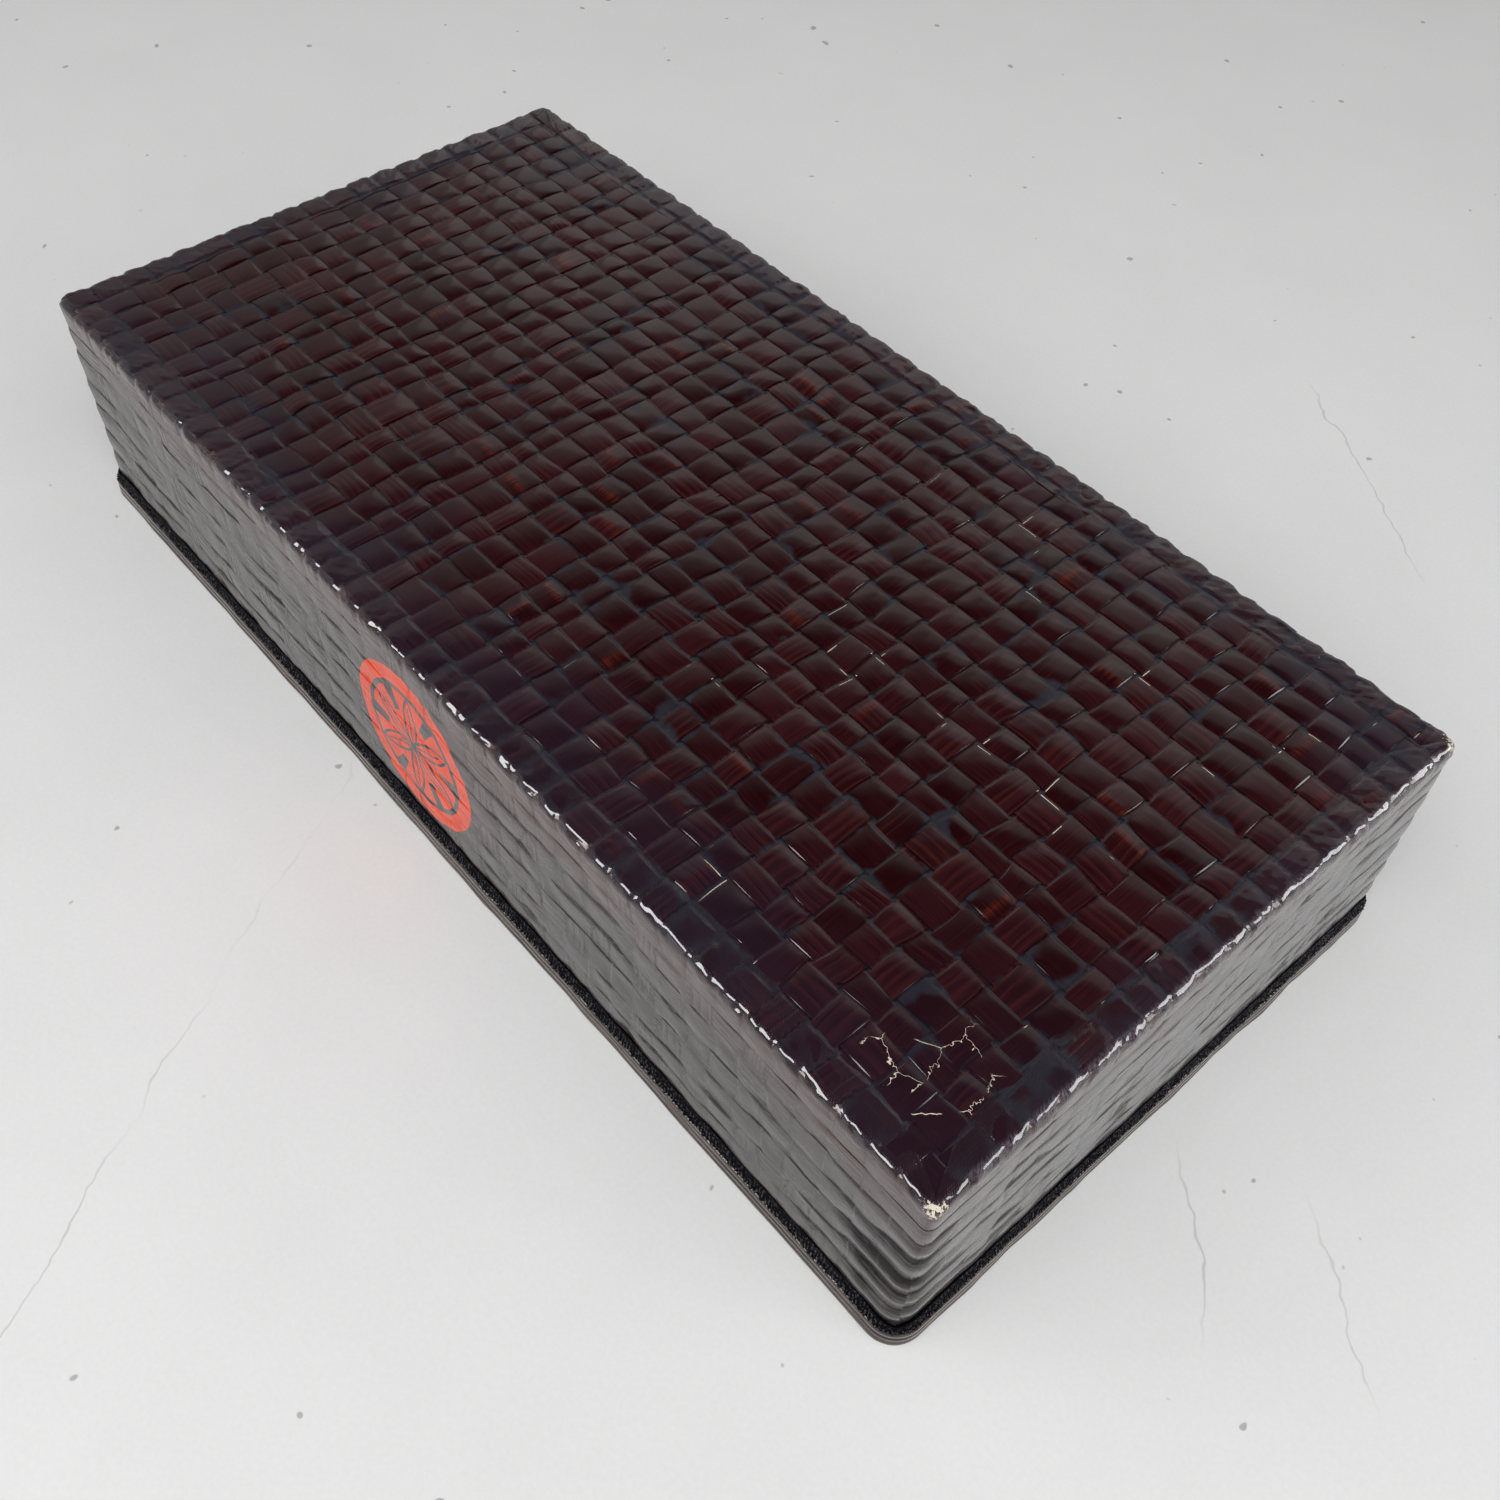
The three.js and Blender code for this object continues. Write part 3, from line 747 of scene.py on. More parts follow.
class Looks:
    """Node tree of a new material, or of a new world."""

    def __init__(self, name, kind="materials"):
        self.owner = getattr(bpy.data, kind).new(name)
        self.owner.use_nodes = True
        self.tree = self.owner.node_tree
        self.tree.nodes.clear()

    def add(self, kind, options=None, sockets=None, output=None):
        """A node with its options set first, then its sockets' values or links; gives one output."""
        node = self.tree.nodes.new(kind)
        for key, value in (options or {}).items():
            setattr(node, key, value)
        for key, value in (sockets or {}).items():
            socket = node.inputs[key] if isinstance(key, int) else next(
                s for s in node.inputs if s.enabled and s.name == key)
            if isinstance(value, Flow):
                self.tree.links.new(value.socket, socket)
            else:
                socket.default_value = value
        shown = [s for s in node.outputs if s.enabled and output in (None, s.name)]
        return Flow(self, shown[0]) if shown else node

    def attribute(self, name, output="Fac"):
        return self.add("ShaderNodeAttribute", {"attribute_name": name}, output=output)

    def object_place(self):
        return self.add("ShaderNodeTexCoord", output="Object")

    def parts(self, vector):
        node = self.tree.nodes.new("ShaderNodeSeparateXYZ")
        self.tree.links.new(vector.socket, node.inputs[0])
        return [Flow(self, socket) for socket in node.outputs]

    def vector(self, x, y, z):
        return self.add("ShaderNodeCombineXYZ", sockets={0: x, 1: y, 2: z})

    def noise(self, place, scale, detail=3.0, roughness=0.6):
        return self.add("ShaderNodeTexNoise", {"noise_dimensions": "3D"}, {
            "Vector": place, "Scale": scale, "Detail": detail, "Roughness": roughness}, "Fac")

    def drawn(self, place, scale, detail=3.0, roughness=0.6):
        """Noise drawn out along the axes, by its own scale on each."""
        wide = self.add("ShaderNodeVectorMath", {"operation": "MULTIPLY"}, {0: place, 1: scale})
        return self.noise(wide, 1.0, detail, roughness)

    def spot(self, place, centre, reach):
        """Share 1 at a point, falling to 0 at the reach."""
        offset = self.add("ShaderNodeVectorMath", {"operation": "SUBTRACT"}, {0: place, 1: centre})
        distance = self.add("ShaderNodeVectorMath", {"operation": "LENGTH"}, {0: offset}, "Value")
        return distance.between(reach, 0.0)

    def mix(self, share, first, second):
        colours = [(*c, 1) if isinstance(c, tuple) else c for c in (first, second)]
        return self.add("ShaderNodeMix", {"data_type": "RGBA"}, {
            "Factor": share, "A": colours[0], "B": colours[1]})

    def bump(self, height, distance, strength=1.0, normal=None):
        sockets = {"Height": height, "Distance": distance, "Strength": strength}
        if normal:
            sockets["Normal"] = normal
        return self.add("ShaderNodeBump", sockets=sockets)

    def finish(self, colour, roughness, normal=None, **others):
        """Principled shader; the other values are constants, or flows where they differ."""
        sockets = {"Base Color": colour, "Roughness": roughness}
        if normal:
            sockets["Normal"] = normal
        sockets.update({key.replace("_", " "): value for key, value in others.items()})
        surface = self.add("ShaderNodeBsdfPrincipled", sockets=sockets)
        self.add("ShaderNodeOutputMaterial", sockets={"Surface": surface})
        return self.owner


def colour(name, light=1.0):
    """A colour of the finishes, made darker or lighter."""
    return tuple(light * part for part in getattr(settings("colours"), name))


def lid_corner():
    """Half length and half width of the lid's panel, and its height over the floor."""
    length, width = settings("sizes").lid_panel
    return length / 2, width / 2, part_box("lid_woven_shell")[1].z


Strips = namedtuple("Strips", "place shade roughness relief gloss far fold own")


def lacquered_strips(looks, level_low=0.10, level_high=0.38):
    """Colour, roughness and fine relief of lacquered strips, from the mat's own attributes.

    Crowns are red-brown and their diving ends, like the gaps, blue-black with a grey film of dirt; knots and
    a few lips are rubbed thin, and on the far lips that rubbed colour and a pale grey are partly painted
    highlight. The near lips are darkened as painted shadow. Fibres streak every strip, and grooves run along
    some. Also given are the far lips, a wall's folds, and the lips of the strip on top alone.
    """
    place = looks.object_place()
    level = looks.attribute("level")
    tint = looks.attribute("tint")
    knot = looks.attribute("knot")
    across, along, number = looks.parts(looks.attribute("grain", "Vector"))
    cloud = looks.noise(place, 21.0)
    blotch = looks.noise(place, 120.0, 3.0, 0.65)
    patch = looks.noise(place, 46.0, 2.0, 0.5)
    streak = looks.noise(looks.vector(across * 7.0 + number * 7.0, along * 20.0, tint * 9.0), 1.0)
    grooved = tint.between(0.62, 0.70) * tint.between(1.0, 0.95)
    uneven = looks.noise(looks.vector(across * 1.4, along * 18.0, number * 3.0), 1.0, 2.0, 0.5)
    grooves = (across * 10.0 + uneven * 10.0).math("SINE") * grooved

    height = (level * 0.80 + (cloud - 0.5) * 1.5 + (patch - 0.5) * 1.1 + (blotch - 0.5) * 0.35
              + (streak - 0.5) * 0.20 + (tint - 0.5) * 0.26)
    raised = height.between(level_low, level_high)
    body = (tint * 0.40 + cloud * 0.45 + streak * 0.60 + grooves * 0.12).between(0.45, 1.0)
    shade = looks.mix(body, colour("crown_dark"), colour("crown"))
    shade = looks.mix(raised, colour("valley"), shade)
    shade = looks.mix((1 - raised) * blotch.between(0.46, 0.75) * 0.10, shade, colour("dust_and_painted_light"))
    far, near, fold = looks.parts(looks.attribute("lip", "Vector"))
    lip = far * level.between(0.40, 0.6)
    # Painted shadow: the near lips, those facing the camera, take the dark crease colour as if in shade, and
    # lose a little gloss.
    crease = near.between(0.50, 1.0)
    shade = looks.mix(crease * patch.between(0.28, 0.52) * 0.70, shade, colour("crease"))
    # Painted highlight: patches of the far lips are lightened towards the pale grey colour, in place of the
    # light they catch.
    shade = looks.mix(lip.between(0.4, 1.0) * cloud.between(0.35, 0.60) * 0.22, shade, colour("dust_and_painted_light"))
    # The far lips' share of the rubbed colour is partly rubbed lacquer and partly painted highlight.
    thin = knot * streak.between(0.30, 0.66) * 0.70 + lip * patch.between(0.46, 0.66) * 0.28
    thin = thin + streak.between(0.56, 0.78) * raised * 0.20 + grooves.between(0.55, 1.0) * raised * 0.16
    shade = looks.mix(thin.math("MINIMUM", 1.0), shade, colour("rubbed"))
    gloss = (1 - crease * 0.20) * (0.50 + raised * 0.50) * (1 - far.between(0.4, 1.0) * 0.25)
    roughness = 0.62 - gloss * 0.22 + (blotch - 0.5) * 0.16
    relief = grooves * 1.2 + streak * 0.9 + blotch * 0.45
    own = lip * abs(across).between(0.86, 0.94)
    return Strips(place, shade, roughness, relief, gloss, far, fold, own)


def scratches(looks, place, lip, shade):
    """Cream lines where a lip has lost its lacquer, mostly towards the right end, and branching cracks
    by the near corner."""
    x, y, _ = looks.parts(place)
    patch = looks.noise(place, 31.0, 1.0, 0.4)
    lines = patch.between(0.67, 0.69) * lip.between(0.30, 0.50) * x.between(0.0, 0.24)
    bend = looks.noise(place, 90.0, 3.0, 0.7) - 0.5
    bent = looks.vector(x + bend * 0.016, y + bend * 0.012, 0.0)
    crack = looks.add("ShaderNodeTexVoronoi", {"feature": "DISTANCE_TO_EDGE"}, {
        "Vector": bent, "Scale": 34.0, "Randomness": 1.0}, "Distance")
    part = looks.noise(place, 44.0, 1.0, 0.5)
    a, b, top = lid_corner()
    near = looks.spot(place, (a - 0.055, 0.0455 - b, top), 0.052)
    broken = near.between(0.10, 0.25) * part.between(0.47, 0.51)
    return looks.mix(lines.either(crack.between(0.0062, 0.0022) * broken), shade, colour("worn"))


def brushed(looks, place):
    """Long thin ridges that brush and cloth have left round the walls: lines where a stretched noise
    passes its middle value."""
    return abs(looks.drawn(place, (16.0, 16.0, 210.0), 3.0, 0.55) - 0.5).between(0.030, 0.0)


def edge_stain(looks, place):
    """Share of the purple-black stain that spreads over the panel from its edges, widest on the front
    and at the near corner."""
    x, y, _ = looks.parts(place)
    a, b, top = lid_corner()
    cloud = (looks.noise(place, 14.0) - 0.5) * 0.16
    from_sides = (abs(y - 0.02) + cloud).between(b - 0.085, b + 0.005)
    from_ends = (abs(x) + cloud).between(a - 0.06, a + 0.01)
    return looks.spot(place, (a, -b, top), 0.20).either(from_sides).either(from_ends)


def upper_wall(looks, place):
    """Share of the browner, thinner lacquer under the edge cloths."""
    _, _, z = looks.parts(place)
    cloud = looks.drawn(place, (16.0, 16.0, 60.0))
    return (z + (cloud - 0.5) * 0.09).between(0.112, 0.170) * 0.75


def wall_lacquer(looks, strips):
    """Thick lacquer of a wall: it hides most of the strips' colours, and shows brushed ridges pale partly as
    painted sheen, far lips lightened as painted highlight, a right end lightened as painted light, a brown
    upper part, and painted shade in the folds at the strained corner."""
    place, shade = strips.place, looks.mix(0.62, strips.shade, colour("wall"))
    ridges = brushed(looks, place)
    x, _, _ = looks.parts(place)
    end, _, _ = lid_corner()
    # Painted light: the brushed ridges, partly as painted sheen, and the right end wall, as a lighter side,
    # are mixed towards the pale grey colour.
    painted_light_and_dust = (ridges * 0.34).either(x.between(end - 0.004, end + 0.002) * 0.36)
    shade = looks.mix(painted_light_and_dust, shade, colour("dust_and_painted_light"))
    # Painted highlight: the far lips of the walls' strips, in patches, take the pale line colour.
    line = strips.far.between(0.30, 1.0) * looks.noise(place, 46.0).between(0.40, 0.64)
    shade = looks.mix(line * 0.40, shade, colour("line"))
    shade = looks.mix(upper_wall(looks, place), shade, colour("brown"))
    # Painted shade: the folds at the strained corner take the dark crease colour and lose gloss.
    shade = looks.mix(strips.fold * 0.85, shade, colour("crease"))
    duller = (1 - x.between(-0.10, -0.42) * 0.22) * (1 - strips.fold * 0.80)
    return strips._replace(
        shade=shade, roughness=strips.roughness * 0.75, gloss=strips.gloss.either(0.75) * duller,
        relief=strips.relief * 0.6 + ridges * 1.7 + line * 0.7)


def worn_panel(looks, strips):
    """Stain, scratches and cracks over the panel's strips."""
    shade = looks.mix(edge_stain(looks, strips.place) * 0.58, strips.shade, colour("band"))
    return strips._replace(shade=scratches(looks, strips.place, strips.own, shade))


def weave_finish(name, wall=False, marked=False):
    """Clear coat over the lacquered strips of a panel or a wall; the panel mirrors in its coat alone."""
    looks = Looks(name)
    strips = (wall_lacquer if wall else worn_panel)(looks, lacquered_strips(looks))
    if marked:
        strips = painted_mark(looks, strips)
    normal = looks.bump(strips.relief, 0.00030, 0.9)
    return looks.finish(
        strips.shade, strips.roughness, normal, IOR=1.25, Specular_IOR_Level=0.5 if wall else 0.0,
        Coat_Weight=strips.gloss * (0.70 if wall else 0.78), Coat_Roughness=0.12 if wall else 0.15,
        Coat_IOR=1.5)


def painted_mark(looks, strips):
    """Vermilion ring round a vermilion disc on which dark lines draw a compass rosette. A petal is what
    two discs of the compass radius share, whose middles stand 60 degrees to each side of its tip, so
    within one sixth of the turn only the farther disc bounds it."""
    mark, place = settings("mark"), strips.place
    x, _, z = looks.parts(place)
    wobble = looks.noise(place, 90.0, 2.0, 0.5) - 0.5
    up = z - mark.height
    radius = (x * x + up * up).math("SQRT") + wobble * 0.0026
    turn = up.math("ARCTAN2", x) + math.radians(90)
    sixth = math.radians(60)
    fold = abs(turn.math("WRAP", sixth / 2, -sixth / 2))
    run, side = radius * fold.math("COSINE"), radius * fold.math("SINE")
    far_x = run - mark.petal * math.cos(sixth)
    far_y = side + mark.petal * math.sin(sixth)
    reach = (far_x * far_x + far_y * far_y).math("SQRT")
    soft = mark.soft
    ring = (radius.between(mark.ring_outside + soft, mark.ring_outside - soft)
            * radius.between(mark.ring_inside - soft, mark.ring_inside + soft))
    outline = abs(reach - mark.petal).between(mark.line / 2, mark.line / 2 + soft)
    rib = side.between(mark.line * 0.22, mark.line * 0.22 + soft).either(
        radius.between(mark.petal * 0.80, mark.petal * 0.80 + soft))
    gap = abs(fold - sixth / 2).between(0.10, 0.13).either(
        radius.between(mark.petal * 0.62, mark.petal * 0.60))
    disc = radius.between(mark.petal + soft, mark.petal - soft)
    eye = abs(radius - mark.line * 2.2).between(mark.line * 0.35, mark.line * 0.35 + soft)
    paint = ring.either(disc * outline * rib * gap * eye)
    brush = looks.noise(looks.vector(x * 40.0, 0.0, z * 260.0), 1.0)
    worn = looks.noise(place, 150.0, 3.0, 0.65).between(0.26, 0.38)
    paint = paint * (0.6 + worn * 0.4)
    red = looks.mix(brush.between(0.2, 0.8) * 0.3, colour("vermilion"), colour("vermilion_thin"))
    return strips._replace(
        shade=looks.mix(paint, strips.shade, red), gloss=strips.gloss * (1 - paint * 0.55))


def edge_cloth_finish(name):
    """Edge cloth under lacquer: purple-black, with thread ribs, worn to bare ground at the corners, and with
    a painted lilac sheen along the ridge of the right edge.
    """
    looks = Looks(name)
    strips = lacquered_strips(looks, 0.32, 0.60)
    place = strips.place
    along, across, _ = settings("cloth").threads
    ridge = looks.attribute("ridge")
    run, down, laid = looks.parts(looks.attribute("thread", "Vector"))
    threads = run.waves(along) * 0.65 + down.waves(across) * 0.35
    cloud = looks.noise(place, 48.0)
    stain = edge_stain(looks, place) * (0.48 + cloud.between(0.3, 0.7) * laid * 0.3)
    shade = looks.mix(stain, strips.shade, colour("band"))
    on_wall = down.between(0.001, 0.008)
    shade = looks.mix(on_wall * 0.6, shade, colour("wall"))
    shade = looks.mix(upper_wall(looks, place) * on_wall, shade, colour("brown"))
    # The brushed ridges on the band's wall part are lightened to pale grey, partly as painted sheen.
    shade = looks.mix(brushed(looks, place) * on_wall * 0.22, shade, colour("dust_and_painted_light"))
    x, y, _ = looks.parts(place)
    a, b, top = lid_corner()
    fleck = looks.noise(place, 520.0, 4.0, 0.7)
    fibres = looks.noise(looks.vector(run * 900.0, down * 260.0, 0.0), 1.0, 3.0, 0.65)
    # Painted sheen: fibrous lilac streaks along the ridge of the right edge, in place of the reflection
    # there; they also get a bump.
    painted_streak = ridge.between(0.15, 0.8) * x.between(a - 0.03, a - 0.01) * cloud.between(0.36, 0.56)
    shade = looks.mix(painted_streak * fibres.between(0.35, 0.65) * 0.75, shade, colour("painted_sheen"))
    near_corner = looks.spot(place, (a, -b, top - 0.003), 0.017)
    right_corner = looks.spot(place, (a, b, top - 0.002), 0.024)
    front_edge = ridge * x.between(0.0, 0.44) * y.between(0.35, -0.2)
    rubbed = near_corner * 0.34 + right_corner * 0.44 + front_edge * 0.12
    bare = (rubbed + fleck * 0.75).between(0.68, 0.71)
    shade = looks.mix(bare, shade, colour("worn"))
    roughness = 0.46 + cloud * 0.10 - ridge * 0.30 + bare * 0.35
    coat = (strips.gloss * 0.80).either(ridge.between(0.05, 0.5)).either(on_wall * 0.65)
    wear = looks.noise(place, 300.0, 4.0, 0.65)
    relief = strips.relief * 0.5 + threads * 0.34 + wear * (0.4 + ridge * 0.9) + fibres * painted_streak * 3.0
    return looks.finish(shade, roughness, looks.bump(relief, 0.0003), IOR=1.22, Specular_IOR_Level=0.3,
                        Coat_Weight=coat, Coat_Roughness=0.05, Coat_IOR=1.5)


def hoop_finish(name):
    """Black-brown lacquer drawn along the hoop."""
    looks = Looks(name)
    place = looks.object_place()
    cloud = looks.noise(place, 22.0)
    lines = looks.drawn(place, (12.0, 12.0, 900.0))
    shade = looks.mix(lines.between(0.35, 0.65), colour("hoop"), colour("hoop_streak"))
    shade = looks.mix(cloud.between(0.55, 0.8) * 0.5, shade, colour("valley"))
    normal = looks.bump(lines + cloud * 0.4, 0.00032)
    return looks.finish(shade, 0.20 + cloud * 0.14, normal, IOR=1.22,
                        Coat_Weight=0.60, Coat_Roughness=0.08, Coat_IOR=1.5)


def rim_cloth_finish(name):
    """Open hemp cloth drowned in black lacquer, with painted glints in pale grey on some rib tops."""
    looks = Looks(name)
    place = looks.object_place()
    _, up, rib = looks.parts(looks.attribute("thread", "Vector"))
    rows = up.waves(settings("cloth").threads[2])
    speck = looks.noise(place, 700.0, 2.0, 0.6)
    # Painted glints: specks on the rib tops are lightened to pale grey, in place of highlights.
    painted_rib_glint = rib.between(0.70, 0.98) * speck.between(0.45, 0.62)
    shade = looks.mix(painted_rib_glint * 0.45, colour("rim"), colour("dust_and_painted_light"))
    normal = looks.bump(rows * 0.5 + speck * 0.8, 0.0003)
    coat = speck.between(0.48, 0.64) * (0.15 + rib.between(0.2, 0.9) * 0.85)
    return looks.finish(shade, 0.60, normal, IOR=1.05,
                        Coat_Weight=coat, Coat_Roughness=0.04, Coat_IOR=1.5)


def paper_finish(name):
    """Tanned paper: long fibres, patchy stain, and the mat's pillows pressed through it."""
    looks = Looks(name)
    place = looks.object_place()
    fibres = looks.drawn(place, (260.0, 900.0, 260.0), 4.0, 0.65)
    stain = looks.noise(place, 9.0, 4.0, 0.6)
    x, y, z = looks.parts(place)
    two_strips = 2 * settings("weave").pitch
    pillows = x.waves(two_strips) * (y + z).waves(two_strips)
    shade = looks.mix(stain.between(0.3, 0.7), colour("paper", 0.55), colour("paper"))
    shade = looks.mix(fibres.between(0.58, 0.78) * 0.5, shade, colour("paper", 1.45))
    normal = looks.bump(pillows * 0.8 + fibres * 0.2, 0.0009, 0.8)
    return looks.finish(shade, 0.78 + fibres * 0.12, normal)


def bamboo_finish(name, axis):
    """Split bamboo with its fibres along one axis, and dark pores."""
    looks = Looks(name)
    place = looks.object_place()
    scale = tuple(18.0 if i == axis else 700.0 for i in range(3))
    grain = looks.drawn(place, scale, 4.0)
    shade = looks.mix(grain.between(0.35, 0.7), colour("bamboo", 0.45), colour("bamboo"))
    return looks.finish(shade, 0.42 + grain * 0.2, looks.bump(grain, 0.0002, 0.8))


# Colour of the floor's specks and hair cracks, and each crack's ends
DARK_MARKS = (0.20, 0.20, 0.205)
HAIR_CRACKS = (
    ((-0.10, -0.21), (0.01, -0.38)),
    ((0.00, -0.36), (0.15, -0.61)),
    ((0.08, 0.66), (0.34, 0.49)),
    ((0.46, 0.00), (0.56, -0.10)),
    ((0.53, 0.03), (0.66, -0.06)),
)


def hair_crack(looks, place, start, end, bend):
    """Thin line from start to end, bent sideways, that fades at both ends."""
    fading = 0.05
    x, y, _ = looks.parts(place)
    run_x, run_y = end[0] - start[0], end[1] - start[1]
    length = math.hypot(run_x, run_y)
    run_x, run_y = run_x / length, run_y / length
    along = (x - start[0]) * run_x + (y - start[1]) * run_y
    aside = (y - start[1]) * run_x - (x - start[0]) * run_y
    line = abs(aside + bend).between(0.0011, 0.0003)
    return line * along.between(0.0, fading) * along.between(length, length - fading)


def floor_finish(name):
    """Pale smooth floor: faint mottle, fine grain, a few dark specks and hair cracks. It fades out into
    the pale background."""
    looks = Looks(name)
    place = looks.object_place()
    mottle = looks.noise(place, 6.0, 5.0, 0.62)
    grain = looks.noise(place, 330.0)
    stage = settings("stage")
    floor = tuple(stage.floor)
    dark = tuple(0.72 * part for part in floor)
    shade = looks.mix((mottle - 0.5) * 0.34 + (grain - 0.5) * 0.34 + 0.10, floor, dark)
    bend = (looks.noise(place, 9.0, 4.0, 0.6) - 0.5) * 0.045
    part = looks.noise(place, 7.0, 2.0, 0.5).between(0.34, 0.56)
    marks = looks.noise(place, 62.0, 1.0, 0.4).between(0.765, 0.79) * 0.6
    for start, end in HAIR_CRACKS:
        marks = marks.either(hair_crack(looks, place, start, end, bend) * part * 0.32)
    shade = looks.mix(marks, shade, DARK_MARKS)
    x, y, _ = looks.parts(place)
    shown = (x * x + y * y).math("SQRT").between(*stage.fade)
    return looks.finish(shade, 0.6, looks.bump(grain, 0.0002, 0.25), Specular_IOR_Level=0.15, Alpha=shown)


# Pieces

class BASKET_OT_weave(bpy.types.Operator):
    """Make the woven panels and walls of both trays"""

    bl_idname = "basket.weave"
    bl_label = "Woven trays"

    # Mesh lines over the rounding between panel and wall
    ARC_LINES = 7

    def execute(self, context):
        finishes = {
            "panel": weave_finish("lacquered_weave_panel"),
            "front": weave_finish("lacquered_weave_marked", wall=True, marked=True),
            "wall": weave_finish("lacquered_weave_wall", wall=True),
        }
        for name in TRAYS:
            mat = Mat(Tray(name))
            self.panel(mat, finishes["panel"])
            for side in SIDES:
                marked = name == "lid" and side == "front"
                self.wall(mat, side, finishes["front" if marked else "wall"])
        return {"FINISHED"}

    def panel(self, mat, finish):
        """Panel in two halves that meet along a strip's middle: the weave on top, and a flat back below."""
        tray = mat.tray
        long, wide = tray.strips
        edge = [tray.edge / pitch for pitch in tray.pitch]
        q = mat.panel.lines(1, edge[1], wide - edge[1], mat.stops)
        middle = long // 2 + 0.5
        halves = {"left": (edge[0], middle), "right": (middle, long - edge[0])}
        for half, (first, last) in halves.items():
            p = mat.panel.lines(0, first, last, mat.stops)
            grid = np.meshgrid(p, q, indexing="ij")
            front, values = mat.panel_point(*grid)
            flat_y = np.array([wide - edge[1], edge[1]]) * tray.pitch[1] - tray.panel[1]
            flat_x = p[:, None] * tray.pitch[0] - tray.panel[0]
            back = tray.place(flat_x, flat_y, tray.height - tray.wall)
            piece = loft(f"{tray.name}_weave_panel_{half}", front, back, values)
            put(piece, tray.name, f"{tray.name}_woven_shell", finish)

    def wall(self, mat, side, finish):
        """One wall from corner middle to corner middle: the weave outside from the panel's join over the
        edge down to the mouth, and a plain back inside."""
        tray = mat.tray
        share = tray.edge / tray.row
        first, count = mat.first[side], mat.count[side]
        s = mat.walls.lines(0, first, first + count, mat.stops) - first
        down = mat.walls.lines(1, share, tray.rows, mat.stops)
        arc = np.linspace(-share, share, self.ARC_LINES)[:-1]
        k = np.concatenate([arc, down])
        front, values = mat.wall_point(side, *np.meshgrid(s, k, indexing="ij"))
        u = 2 * s[:, None] / count - 1
        back = tray.ring(side, u, np.array([[0.0, tray.height - tray.wall]]), -tray.wall)
        piece = loft(f"{tray.name}_weave_{tray.side_name(side)}", front, back, values)
        put(piece, tray.name, f"{tray.name}_woven_shell", finish)


class BASKET_OT_edge_cloths(bpy.types.Operator):
    """Make the hemp bands over the edges of both panels"""

    bl_idname = "basket.edge_cloths"
    bl_label = "Edge cloths"

    # Grid of a band: step along the edge, and lines over the panel, over the rounding and down the wall
    GRID = {"lid": (0.0016, 16, 8, 12), "base": (0.004, 8, 5, 4)}

    # How far short and long waves make the borders ragged, and how deep the hidden back lies
    RAGGED, WAVY, SUNK = 0.0012, 0.003, 0.002

    def execute(self, context):
        finish = edge_cloth_finish("lacquered_edge_cloth")
        for name in TRAYS:
            mat = Mat(Tray(name))
            for side in SIDES:
                self.band(mat, side, finish)
        return {"FINISHED"}

    def band(self, mat, side, finish):
        """Band over one edge. It softens the weave under it: half its relief, raised to the crowns' height,
        with the cloth on top and small puckers; at its borders it thins out onto the weave."""
        tray, cloth, look = mat.tray, settings("cloth"), settings("weave")
        step, panel_lines, arc_lines, wall_lines = self.GRID[tray.name]
        half = tray.panel[0] if side in ("front", "back") else tray.panel[1]
        u = np.linspace(-1, 1, round(2 * half / step) + 1)[:, None]
        run = u * half
        seed = mat.seed + 60 + list(SIDES).index(side)
        ragged = (drift(run / 0.021, 0.5, (67, 5), seed) * self.RAGGED
                  + drift(run / 0.11, 1.5, (31, 5), seed) * self.WAVY)
        from_end = (1 - np.abs(u)) * half
        inner = -np.minimum(cloth.on_panel + ragged, from_end + tray.edge + 0.001) / tray.row
        outer = (cloth.on_wall + ragged) / tray.row
        share = tray.edge / tray.row
        on_panel = np.linspace(0, 1, panel_lines)[:-1]
        on_arc = np.linspace(0, 1, arc_lines)[:-1]
        on_wall = np.linspace(0, 1, wall_lines)
        k = np.concatenate([
            inner + (-share - inner) * on_panel,
            -share + 2 * share * on_arc + 0 * u,
            share + (outer - share) * on_wall], axis=1)
        values, s = mat.edge_values(side, u + 0 * k, k)
        from_border = np.minimum((k - inner), (outer - k)) * tray.row
        laid = ramp(from_border, 0, cloth.border)
        fold = 1 - 0.35 * laid * (k < 0)
        relief = look.rise * np.where(k > 0, look.wall_relief, 1.0)
        height = relief * ((2 * np.maximum(values["level"], 0.35) - 1) * fold + (1 - fold) * 0.6)
        ridge = np.exp(-(k / (0.9 * share)) ** 2)
        down = k * tray.row
        bumps = drift(run / 0.0041, down / 0.0045, (211, 97), seed + 8)
        crumple = drift(run / 0.012, down / 0.010, (101, 41), seed + 16)
        notch = np.abs(np.sin(np.pi * s)) ** 0.5 - 0.78 + 0.35 * drift(s, 0.5, (41, 3), seed + 24)
        swell = mat.wall_swell((u + 1) / 2 * mat.count[side], k)
        lift = (height - look.sink + cloth.thickness * (0.15 + 0.85 * laid)
                + cloth.pucker * laid * (bumps * (0.35 + 0.9 * ridge) + crumple * 0.8)
                + cloth.scallop * notch * ridge + swell * (k > 0))
        front = tray.skin(side, u, k, lift)
        back_k = np.concatenate([outer, 0 * u, inner], axis=1)
        back = tray.skin(side, u, back_k, -self.SUNK)
        thread = np.stack([run + 0 * k, down, laid + 0 * k], axis=-1)
        values = {**values, "ridge": ridge + 0 * k, "thread": thread}
        world_side = tray.side_name(side)
        piece = loft(f"{tray.name}_edge_band_{world_side}", front, back, values)
        put(piece, tray.name, f"{tray.name}_edge_cloth_{world_side}", finish)


def round_the_mouth(tray, spacing):
    """Sides with their u and with t, which counts the sides run through so far, for a ring of loops."""
    for number, side in enumerate(SIDES):
        half = tray.mouth[0] if side in ("front", "back") else tray.mouth[1]
        count = round(2 * half / spacing)
        share = np.arange(count)[:, None] / count
        yield side, 2 * share - 1, number + share


